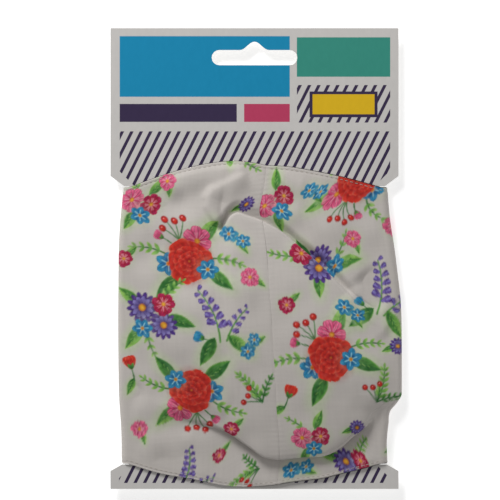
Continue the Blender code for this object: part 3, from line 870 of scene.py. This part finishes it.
def paint_sprig(cloth, base, angle, length, bend, leaves, dark=False):
    """A bending stem with pairs of small leaves."""
    places, headings = paint_stem(cloth, base, angle, length, bend, 0.0007, "moss")
    shades = SHADED_LEAF if dark else LIT_LEAF
    for i in range(leaves):
        place, heading = along_stem(places, headings, (i + 1) / (leaves + 0.5))
        size = length * (0.26 - 0.10 * i / leaves)
        for way in (-1, 1):
            paint_petal(cloth, place, heading + way * 0.75, size, size * 0.42, shades, 0.8)
    paint_petal(cloth, places[-1], headings[-1], length * 0.16, length * 0.07, shades, 0.8)


def paint_cosmos(cloth, middle, radius, turn, colours):
    """An open flower with seven petals and a gold eye."""
    paint_wash(cloth, middle, 0.0, radius * 2.8, radius * 2.8, "mist", 0.3)
    for i in range(7):
        angle = turn + i * math.tau / 7 + 0.10 * math.sin(5 * i)
        reach = radius * (1.0 + 0.09 * math.sin(3 * i))
        paint_petal(cloth, middle, angle, reach, radius * 0.70, colours, 0.34, 0.14, 0.26)
    for i in range(7):
        for lean in (-0.14, 0.14):
            angle = turn + i * math.tau / 7 + lean
            place = step_from(middle, angle, radius * 0.15)
            paint_stem(cloth, place, angle, radius * 0.42, 0.0, 0.00036, "blush")
    paint_disc(cloth, middle, radius * 0.19, "gold", "amber")


def paint_star(cloth, middle, radius, turn):
    """A six-pointed flower with pale rays and a gold eye."""
    paint_wash(cloth, middle, 0.0, radius * 2.8, radius * 2.8, "mist", 0.3)
    for i in range(6):
        reach = radius * (1.0 + 0.08 * math.sin(4 * i + 1))
        paint_petal(cloth, middle, turn + i * math.pi / 3, reach, radius * 0.66, AQUA, 0.62, 0.10, 0.3)
    for i in range(6):
        paint_stem(cloth, middle, turn + i * math.pi / 3, radius * 0.56, 0.0, 0.00055, "ice")
    paint_disc(cloth, middle, radius * 0.17, "amber", "gold")


def paint_aster(cloth, middle, radius, turn):
    """A flower with two rings of narrow petals round a gold button."""
    for ring, count, tip in ((1.0, 13, "violet"), (0.72, 11, "lavender")):
        for i in range(count):
            angle = turn + (i + ring) * 2 * math.pi / count
            paint_petal(cloth, middle, angle, radius * ring, radius * 0.33, ("plum", tip, "plum"), 0.5)
    paint_disc(cloth, middle, radius * 0.24, "gold", "amber")


def paint_rose(cloth, middle, radius, turn):
    """A full flower: rings of broad petals with lit rims, each ring shaded before the next."""
    for ring, count, size in ((1.0, 6, 1.02), (0.70, 5, 0.80), (0.46, 4, 0.60), (0.25, 3, 0.38)):
        for i in range(count):
            angle = turn + ring * 7 + i * 2 * math.pi / count
            reach = radius * ring * (1.0 + 0.07 * math.sin(3 * i + 5 * ring))
            paint_petal(cloth, middle, angle, reach, radius * size, FIRE, 0.26, 0.07, 0.20)
        shade = radius * ring * 2.1
        paint_wash(cloth, middle, 0.0, shade, shade, "ember", 0.62)
    paint_disc(cloth, middle, radius * 0.08, "amber", "ember")


def paint_bells(cloth, base, angle, length, bend, bells):
    """An arching stem hung with small bells on both sides, smaller towards its tip."""
    places, headings = paint_stem(cloth, base, angle, length, bend, 0.0008, "leaf")
    for i in range(bells):
        place, heading = along_stem(places, headings, 0.18 + 0.82 * (i + 1) / bells)
        size = length * (0.20 - 0.10 * i / bells)
        lean = heading + (1 if i % 2 else -1) * 1.15
        paint_petal(cloth, place, lean, size, size * 0.66, BELL, 0.25, 0.08)
        mouth = step_from(place, lean, size * 0.5)
        paint_petal(cloth, mouth, lean, size * 0.5, size * 0.3, LIT_BELL, 0.3)


def paint_berries(cloth, base, angle, length, count):
    """A forked spray of round berries."""
    for i in range(count):
        lean = angle + (i - (count - 1) / 2) * 0.42
        reach = length * (1.0 - 0.18 * (i % 2))
        places, _ = paint_stem(cloth, base, lean, reach, 0.25, 0.0005, "moss")
        paint_disc(cloth, places[-1], length * 0.15, "scarlet", "ember")
        paint_disc(cloth, step_from(places[-1], 2.2, length * 0.05), length * 0.04, "blush", "scarlet")


def paint_bud(cloth, base, angle, length, colours):
    """A closed bud in its green cup."""
    places, headings = paint_stem(cloth, base, angle, length * 0.45, 0.2, 0.0006, "moss")
    tip, heading = places[-1], headings[-1]
    for way in (-0.30, 0.30, 0.0):
        paint_petal(cloth, tip, heading + way, length * 0.55, length * 0.30, colours, 0.4, 0.08)
    for way in (-0.45, 0.45):
        paint_petal(cloth, tip, heading + way, length * 0.26, length * 0.13, SHADED_LEAF, 0.8)


MOTIFS = {
    "leaf": paint_leaf, "sprig": paint_sprig, "cosmos": paint_cosmos, "star": paint_star,
    "aster": paint_aster, "rose": paint_rose, "bells": paint_bells, "berries": paint_berries,
    "bud": paint_bud,
}
ROUND_MOTIFS = ("cosmos", "star", "aster", "rose")
MM = 0.001
POSY_REACH = 0.030
DARK = True

# Posies: motif, place in mm from the posy's middle, direction or turn in degrees, length or
# radius in mm, and what else the motif takes
POSIES = {
    "garden": (
        ("leaf", -7, -5, 205, 15, DARK), ("leaf", 6, -7, 300, 14, DARK), ("leaf", 8, 5, 30, 14),
        ("sprig", -8, 5, 130, 15, 0.6, 4), ("sprig", 9, -3, 345, 14, -0.6, 4),
        ("berries", 0, 9, 80, 10, 4), ("star", -9, 1, 10, 5.5), ("cosmos", 7, 6, 20, 6.5, PINK),
        ("rose", 0, -1, 0, 9.5), ("star", 6, -7, 40, 4.8), ("bud", -4, 9, 120, 8, PINK),
    ),
    "meadow": (
        ("leaf", -4, -5, 240, 13), ("leaf", 6, 1, 350, 13, DARK), ("leaf", -6, 4, 150, 12),
        ("sprig", 3, 6, 70, 14, -0.5, 4), ("sprig", -2, -6, 280, 12, 0.5, 3),
        ("aster", -5, 3, 0, 6.8), ("aster", 5, -3, 25, 6.2), ("cosmos", 4, 6, 12, 5.0, RUBY),
        ("star", -4, -6, 12, 4.4),
    ),
    "bell_spray": (
        ("leaf", -2, -6, 230, 14, DARK), ("leaf", 4, -6, 310, 13),
        ("bells", 0, -8, 80, 24, 0.7, 11), ("bells", 3, -8, 60, 17, -0.5, 8),
        ("bud", -3, -8, 140, 9, AQUA),
    ),
    "trio": (
        ("leaf", -3, -3, 215, 10), ("leaf", 4, 3, 35, 10), ("sprig", 0, 4, 100, 11, 0.5, 3),
        ("cosmos", -3.5, 2.5, 0, 5.2, PINK), ("cosmos", 4.5, -1.5, 20, 4.6, RUBY),
        ("star", -1.5, -5, 0, 4.2),
    ),
    "fern": (
        ("sprig", 0, -7, 95, 17, 0.5, 6), ("sprig", 0, -7, 60, 13, -0.4, 4, DARK),
        ("berries", 0, -7, 130, 9, 3),
    ),
    "star_pair": (
        ("leaf", 1, -1, 300, 7), ("star", -2, 1, 0, 3.6), ("star", 3, -2, 30, 3.0),
    ),
    "lone_cosmos": (("leaf", 1, -1, 280, 6), ("cosmos", 0, 0, 15, 3.8, PINK)),
    "lone_ruby": (("leaf", 1, 1, 40, 6), ("cosmos", 0, 0, 0, 3.4, RUBY)),
    "lone_aster": (("leaf", -1, 0, 200, 6), ("aster", 0, 0, 0, 3.4)),
    "rose_bud": (("leaf", 0, -4, 230, 8), ("bud", 0, -5, 80, 11, FIRE)),
}

# Where the posies lie on each cut piece: posy, mm from the seam (left is negative), mm up
# from the card's centre line, turn in degrees and scale
PRINT_CHART = {
    LEFT: (
        ("garden", -34, 0, 20, 1.0), ("meadow", -51, -25, 350, 1.0),
        ("bell_spray", -24, -28, 10, 1.0), ("trio", -52, 24, 15, 1.0),
        ("garden", -36, -58, 190, 0.95), ("fern", -8, -56, 20, 0.9), ("star_pair", -13, 10, 0, 1.1),
        ("lone_cosmos", -8, -8, 40, 1.1), ("lone_ruby", -62, 0, 0, 1.1),
        ("lone_aster", -6, 34, 0, 1.0), ("rose_bud", -62, -48, 15, 1.0),
        ("star_pair", -10, -38, 90, 1.0), ("lone_cosmos", -42, 34, 0, 1.0),
        ("trio", -12, 60, 200, 1.0), ("lone_aster", -36, 60, 90, 1.1),
        ("star_pair", -54, 54, 30, 1.0), ("lone_ruby", -20, -74, 0, 1.0),
        ("lone_cosmos", -60, -74, 0, 1.0), ("meadow", -86, 8, 40, 1.0), ("trio", -88, -34, 0, 1.0),
        ("fern", -80, 34, 60, 1.0), ("garden", -108, -16, 0, 0.9),
        ("bell_spray", -40, -96, 340, 0.8), ("fern", -14, -101, 80, 0.8),
        ("lone_ruby", -26, -88, 0, 0.9), ("lone_cosmos", -76, -58, 0, 1.1),
        ("star_pair", -104, -50, 30, 1.1), ("rose_bud", -94, -66, 20, 1.0),
        ("lone_aster", -102, 16, 0, 1.1),
    ),
    RIGHT: (
        ("garden", 24, -42, 40, 1.0), ("meadow", 22, 2, 120, 1.0),
        ("bell_spray", 48, -16, 345, 1.0), ("trio", 6, 34, 60, 1.0), ("fern", 47, -57, 325, 0.9),
        ("star_pair", 34, -22, 0, 1.1), ("lone_ruby", 7, -20, 0, 1.1),
        ("lone_aster", 54, -38, 0, 1.1), ("lone_cosmos", 38, 10, 0, 1.0),
        ("rose_bud", 5, -60, 340, 1.0), ("garden", 40, 34, 160, 0.9), ("star_pair", 22, 38, 0, 1.0),
        ("lone_cosmos", 56, 14, 0, 1.1), ("lone_ruby", 28, 56, 0, 1.1), ("trio", 10, 62, 120, 0.9),
        ("star_pair", 52, 56, 60, 1.0), ("lone_aster", 34, -74, 0, 1.0), ("trio", 14, -78, 30, 0.9),
        ("meadow", 84, -6, 200, 1.0), ("bell_spray", 82, 34, 0, 1.0), ("trio", 88, -40, 0, 1.0),
        ("garden", 106, 10, 0, 0.9), ("meadow", 34, -101, 20, 0.85),
        ("star_pair", 8, -103, 40, 1.1), ("lone_aster", 52, -84, 0, 1.0),
        ("rose_bud", 78, -66, 0, 1.0), ("star_pair", 104, -32, 60, 1.1),
        ("lone_ruby", 98, -60, 0, 1.2),
    ),
}


def paint_cloth(side, out, up):
    """The colours of the print at the points of one cut piece."""
    cloth = ClothPrint(out, up)
    for posy, x, y, turn, scale in PRINT_CHART[side]:
        cloth.look_at((x * MM, y * MM), POSY_REACH * scale)
        c, s = math.cos(math.radians(turn)), math.sin(math.radians(turn))
        for kind, motif_x, motif_y, direction, size, *options in POSIES[posy]:
            place = (
                (x + scale * (motif_x * c - motif_y * s)) * MM,
                (y + scale * (motif_x * s + motif_y * c)) * MM,
            )
            angle, size = math.radians(direction + turn), size * scale * MM
            pair = (size, angle) if kind in ROUND_MOTIFS else (angle, size)
            MOTIFS[kind](cloth, place, *pair, *options)
    return cloth.dried()


def to_linear(colour):
    return np.where(colour <= 0.04045, colour / 12.92, ((colour + 0.055) / 1.055) ** 2.4)


def stitch_line(lines, place):
    """The points at one distance along each of the lines from its first point."""
    return np.array([[np.interp(place, run_along(line), line[:, axis]) for axis in range(3)]
                     for line in lines])


def stitch_rows(side, points):
    """The lines that the mask is stitched along: its two hems and its ear hem."""
    faces = points + surface_normals(side, points) * outer_offset(points)[:, :, None]
    hem_column = FRONT_STEPS + WRAP_STEPS + WING_STEPS
    hems = range(2, hem_column + 1)
    ear_reach = EAR_HEM_WIDTH - STITCH_INSET
    return (
        stitch_line([faces[:, i] for i in hems], STITCH_INSET),
        stitch_line([faces[::-1, i] for i in hems], STITCH_INSET),
        stitch_line([row[hem_column::-1] for row in faces], ear_reach)[EAR_ENDS:-EAR_ENDS],
    )


def resample(line, spacing):
    """A line's points at even spacing along it."""
    run = run_along(line)
    places = np.arange(0.0, run[-1], spacing)
    return np.stack([np.interp(places, run, line[:, axis]) for axis in range(3)], axis=1)


def add_stitch(verts, faces, start, end, rise):
    """A small rounded length of thread from start to end, bowed along rise."""
    along = end - start
    length = np.linalg.norm(along)
    along = along / max(length, 1e-9)
    aside = np.cross(rise, along)
    aside = aside / max(np.linalg.norm(aside), 1e-9)
    up = np.cross(along, aside)
    first = len(verts)
    last = first + (len(THREAD_GIRTH) - 1) * THREAD_SIDES
    for share, girth in THREAD_GIRTH:
        bow = THREAD_RADIUS * (THREAD_BOW * math.sin(math.pi * share) - THREAD_SINK)
        middle = start + along * length * share + up * bow
        for k in range(THREAD_SIDES):
            angle = 2 * math.pi * k / THREAD_SIDES
            turn = aside * math.cos(angle) + up * math.sin(angle)
            verts.append(middle + turn * THREAD_RADIUS * girth)
    for ring in range(first, last, THREAD_SIDES):
        for k in range(THREAD_SIDES):
            a, b = ring + k, ring + (k + 1) % THREAD_SIDES
            faces.append((a, b, b + THREAD_SIDES, a + THREAD_SIDES))
    faces.append(tuple(range(first + THREAD_SIDES - 1, first - 1, -1)))
    faces.append(tuple(range(last, last + THREAD_SIDES)))


def make_stitching(name, side, points):
    """All the stitches that show on one half of the mask, each three of STITCH_CUTS parts long."""
    verts = []
    faces = []
    for line in stitch_rows(side, points):
        places = resample(line, STITCH_PITCH / STITCH_CUTS)
        for i in range(2, len(places) - STITCH_CUTS - 1, STITCH_CUTS):
            start, end = places[i], places[i + STITCH_CUTS - 1]
            rise = np.array([0.0, 0.0, 1.0 if start[2] > WING_MID + CLOTH else -1.0])
            if abs(start[0]) > NECK_HALF:
                rise = np.array([np.sign(start[0]), 0.0, 0.0])
            add_stitch(verts, faces, start, end, rise)
    return new_object(name, verts, faces)


def print_on(sheet, side, points):
    """Stores the print as the colour of each point, plain on the hidden side."""
    colours = np.tile(np.array([*GROUND, 1.0]), (len(sheet.data.vertices), 1))
    outer = paint_cloth(side, *flat_chart(side, points))
    colours[: len(outer), :3] = outer
    colours[:, :3] = to_linear(colours[:, :3])
    layer = sheet.data.color_attributes.new("print", "FLOAT_COLOR", "POINT")
    layer.data.foreach_set("color", colours.astype(np.float32).ravel())


def new_material(name, colour, roughness):
    """A material with its tree and its shader."""
    material = bpy.data.materials.new(name)
    material.use_nodes = True
    shader = material.node_tree.nodes["Principled BSDF"]
    shader.inputs["Base Color"].default_value = (*colour, 1.0)
    shader.inputs["Roughness"].default_value = roughness
    return material, material.node_tree, shader


def feed(tree, socket, value):
    """Joins another node's output to a socket, or sets the socket to a plain value."""
    if isinstance(value, bpy.types.NodeSocket):
        tree.links.new(value, socket)
    else:
        socket.default_value = value


def calculate(tree, operation, *values, clamp=False):
    """A math node's result."""
    node = tree.nodes.new("ShaderNodeMath")
    node.operation = operation
    node.use_clamp = clamp
    for socket, value in zip(node.inputs, values):
        feed(tree, socket, value)
    return node.outputs[0]


def times(tree, first, second):
    return calculate(tree, "MULTIPLY", first, second)


def plus(tree, first, second):
    return calculate(tree, "ADD", first, second)


def minus(tree, first, second):
    return calculate(tree, "SUBTRACT", first, second)


def object_place(tree):
    return tree.nodes.new("ShaderNodeTexCoord").outputs["Object"]


def mix_colour(tree, factor, first, second, blend="MIX"):
    """First where the factor is 0 and second where it is 1."""
    node = tree.nodes.new("ShaderNodeMix")
    node.data_type = "RGBA"
    node.blend_type = blend
    feed(tree, node.inputs["Factor"], factor)
    for socket, value in zip((node.inputs[6], node.inputs[7]), (first, second)):
        if not isinstance(value, bpy.types.NodeSocket):
            value = (*to_linear(np.array(value)), 1.0)
        feed(tree, socket, value)
    return node.outputs[2]


def noise(tree, place, size, detail=3.0, stretch=(1.0, 1.0, 1.0)):
    """Noise from 0 to 1 with features of about the given size, longer where stretch is below 1."""
    scale = tree.nodes.new("ShaderNodeVectorMath")
    scale.operation = "MULTIPLY"
    feed(tree, scale.inputs[0], place)
    scale.inputs[1].default_value = stretch
    node = tree.nodes.new("ShaderNodeTexNoise")
    node.inputs["Scale"].default_value = 1.0 / size
    node.inputs["Detail"].default_value = detail
    feed(tree, node.inputs["Vector"], scale.outputs[0])
    return node.outputs[0]


def spread(tree, value, low, high):
    """A value from 0 to 1 spread between two others."""
    return calculate(tree, "MULTIPLY_ADD", value, high - low, low)


def raise_surface(tree, shader, height, depth):
    node = tree.nodes.new("ShaderNodeBump")
    node.inputs["Distance"].default_value = depth
    feed(tree, node.inputs["Height"], height)
    tree.links.new(node.outputs[0], shader.inputs["Normal"])


def axes_of(tree, place):
    node = tree.nodes.new("ShaderNodeSeparateXYZ")
    feed(tree, node.inputs[0], place)
    return node.outputs[0], node.outputs[1], node.outputs[2]


def grey(tree, value):
    node = tree.nodes.new("ShaderNodeCombineColor")
    for socket in node.inputs:
        feed(tree, socket, value)
    return node.outputs[0]


def tint(tree, shader, colour, tone):
    """Gives the shader a colour times a grey tone."""
    feed(tree, shader.inputs["Base Color"], mix_colour(tree, 1.0, colour, grey(tree, tone), "MULTIPLY"))


def cotton_material():
    """Plain-woven cotton: the print, uneven yarns both ways and a soft sheen."""
    material, tree, shader = new_material("printed_cotton", (0.5, 0.5, 0.5), 0.9)
    attribute = tree.nodes.new("ShaderNodeAttribute")
    attribute.attribute_name = "print"
    chart = tree.nodes.new("ShaderNodeUVMap")
    chart.uv_map = "flat_cloth"
    metres = tree.nodes.new("ShaderNodeVectorMath")
    metres.operation = "SCALE"
    metres.inputs["Scale"].default_value = CHART_SIZE
    tree.links.new(chart.outputs[0], metres.inputs[0])
    place = metres.outputs[0]
    waves = [calculate(tree, "SINE", times(tree, axis, 2 * math.pi / YARN_PITCH))
             for axis in axes_of(tree, place)[:2]]
    weave = calculate(tree, "MULTIPLY_ADD", times(tree, *waves), 0.5, 0.5)
    warp = noise(tree, place, YARN_SLUB, 2.0, (1.0, YARN_RUN, 1.0))
    weft = noise(tree, place, YARN_SLUB, 2.0, (YARN_RUN, 1.0, 1.0))
    yarns = times(tree, plus(tree, warp, weft), 0.5)
    cloud = noise(tree, place, CLOUD_SIZE, 4.0)
    tone = plus(tree, spread(tree, yarns, 0.90, 1.06), spread(tree, cloud, -0.03, 0.03))
    tone = plus(tree, tone, spread(tree, weave, -0.03, 0.03))
    tint(tree, shader, attribute.outputs["Color"], tone)
    feed(tree, shader.inputs["Roughness"], spread(tree, yarns, 0.80, 0.98))
    shader.inputs["Sheen Weight"].default_value = 0.12
    shader.inputs["Sheen Roughness"].default_value = 0.5
    shader.inputs["Specular IOR Level"].default_value = 0.25
    raise_surface(tree, shader, plus(tree, times(tree, weave, 0.45), yarns), YARN_RELIEF)
    return material


def thread_material():
    """Twisted sewing thread."""
    material, tree, shader = new_material("sewing_thread", (0.5, 0.5, 0.5), 0.6)
    strands = noise(tree, object_place(tree), STRAND_SIZE, 2.0)
    colour = mix_colour(tree, strands, (0.62, 0.59, 0.55), (0.72, 0.69, 0.66))
    feed(tree, shader.inputs["Base Color"], colour)
    feed(tree, shader.inputs["Roughness"], spread(tree, strands, 0.5, 0.75))
    raise_surface(tree, shader, strands, FINE_RELIEF)
    return material


def between(tree, value, low, high):
    """1 where a value in mm lies between two bounds, with a soft edge."""
    off = calculate(tree, "ABSOLUTE", minus(tree, value, (low + high) / 2))
    inside = minus(tree, (high - low) / 2, off)
    return calculate(tree, "MULTIPLY_ADD", inside, 1 / CARD_INK_EDGE, 0.5, clamp=True)


def panel_mask(tree, x, y, left, right, bottom, top):
    return times(tree, between(tree, x, left, right), between(tree, y, bottom, top))


def stripes(tree, x, y, pitch, shift):
    """Slanting printed lines at a given pitch."""
    lean = calculate(tree, "MULTIPLY_ADD", y, -1 / math.tan(STRIPE_LEAN), x)
    beat = calculate(tree, "FRACT", calculate(tree, "DIVIDE", plus(tree, lean, shift), pitch))
    place = times(tree, beat, pitch)
    return between(tree, place, (pitch - STRIPE_WIDTH) / 2, (pitch + STRIPE_WIDTH) / 2)


def card_material():
    """Pale board, printed in front with flat colour panels and fields of slanting stripes."""
    material, tree, shader = new_material("printed_card", (0.5, 0.5, 0.5), 0.5)
    place = object_place(tree)
    x, y, z = axes_of(tree, place)
    x = times(tree, minus(tree, x, CARD_X), 1000.0)
    y = times(tree, y, 1000.0)
    off = calculate(tree, "ABSOLUTE", x)

    field_cut = between(tree, minus(tree, y, off), *FIELD_SLANT)
    foot_cut = between(tree, plus(tree, y, off), *FOOT_SLANT)
    field = times(tree, panel_mask(tree, x, y, *STRIPE_FIELD), field_cut)
    foot = times(tree, panel_mask(tree, x, y, *FOOT_FIELD), foot_cut)
    wide = times(tree, calculate(tree, "MAXIMUM", field, foot), stripes(tree, x, y, **STRIPES))
    side = times(tree, panel_mask(tree, x, y, *SIDE_FIELD), stripes(tree, x, y, **SIDE_STRIPES))
    colour = mix_colour(tree, calculate(tree, "MAXIMUM", wide, side), CARD_WHITE, CARD_INKS["plum"])
    for ink, *bounds in CARD_PANELS:
        colour = mix_colour(tree, panel_mask(tree, x, y, *bounds), colour, CARD_INKS[ink])

    front = calculate(tree, "GREATER_THAN", z, CARD_FRONT - FRONT_SKIN)
    fibres = noise(tree, place, FIBRE_SIZE, 5.0, (1.0, 0.5, 1.0))
    tint(tree, shader, mix_colour(tree, front, CARD_BOARD, colour), spread(tree, fibres, 0.95, 1.05))
    satin = spread(tree, fibres, 0.46, 0.58)
    board = spread(tree, fibres, 0.80, 0.95)
    rough = plus(tree, times(tree, front, minus(tree, satin, board)), board)
    feed(tree, shader.inputs["Roughness"], rough)
    shader.inputs["Specular IOR Level"].default_value = 0.30
    raise_surface(tree, shader, fibres, FINE_RELIEF)
    return material


def floor_material():
    """Pale matt studio floor, lit through to white."""
    material, tree, shader = new_material("floor_white", (0.85, 0.85, 0.85), 0.9)
    cloud = noise(tree, object_place(tree), 0.4, 2.0)
    colour = mix_colour(tree, cloud, (0.92, 0.92, 0.92), (0.94, 0.94, 0.94))
    feed(tree, shader.inputs["Base Color"], colour)
    shader.inputs["Emission Color"].default_value = (1.0, 1.0, 1.0, 1.0)
    shader.inputs["Emission Strength"].default_value = FLOOR_GLOW
    return material


def make_camera():
    camera = bpy.data.objects.new("camera", bpy.data.cameras.new("camera"))
    camera.data.sensor_width = SENSOR
    camera.data.lens = SENSOR * CAMERA_HEIGHT / VIEW_WIDTH
    camera.data.clip_start, camera.data.clip_end = CAMERA_CLIP
    camera.location = (CAMERA_X, CAMERA_Y, CARD_FRONT + CAMERA_HEIGHT)
    bpy.context.scene.collection.objects.link(camera)
    bpy.context.scene.camera = camera


def add_light(name, location, size, power):
    """A square soft light that faces the object."""
    light = bpy.data.objects.new(name, bpy.data.lights.new(name, "AREA"))
    light.data.size = size
    light.data.energy = power
    light.location = location
    aim = -light.location
    light.rotation_mode = "QUATERNION"
    light.rotation_quaternion = aim.to_track_quat("-Z", "Y")
    bpy.context.scene.collection.objects.link(light)


def make_stage():
    bpy.ops.mesh.primitive_plane_add(size=FLOOR_SIZE, location=(0.0, 0.0, -FLOOR_DEPTH))
    floor = bpy.context.object
    floor.name = "floor"
    floor.data.materials.append(floor_material())
    add_light("key_light", *KEY_LIGHT)
    add_light("fill_light", *FILL_LIGHT)
    world = bpy.data.worlds.new("studio")
    world.use_nodes = True
    background = world.node_tree.nodes["Background"]
    background.inputs["Color"].default_value = (1.0, 1.0, 1.0, 1.0)
    background.inputs["Strength"].default_value = WORLD_LIGHT
    bpy.context.scene.world = world
    bpy.context.scene.view_settings.view_transform = "Standard"


make_camera()
make_stage()
cotton = cotton_material()
thread = thread_material()
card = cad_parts["backing_card"]
card.data.materials.clear()
card.data.materials.append(card_material())
for word, side in PANELS.items():
    points = panel_points(side)
    sheet = make_sheet("mask_cloth_" + word, side, points)
    print_on(sheet, side, points)
    sheet.data.materials.append(cotton)
    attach(sheet, "root")
    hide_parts("mask_panel_" + word)
    stitching = make_stitching("hem_stitches_" + word, side, points)
    stitching.data.materials.append(thread)
    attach(stitching, "root")
    width, length, area = cut_size(*flat_chart(side, points))
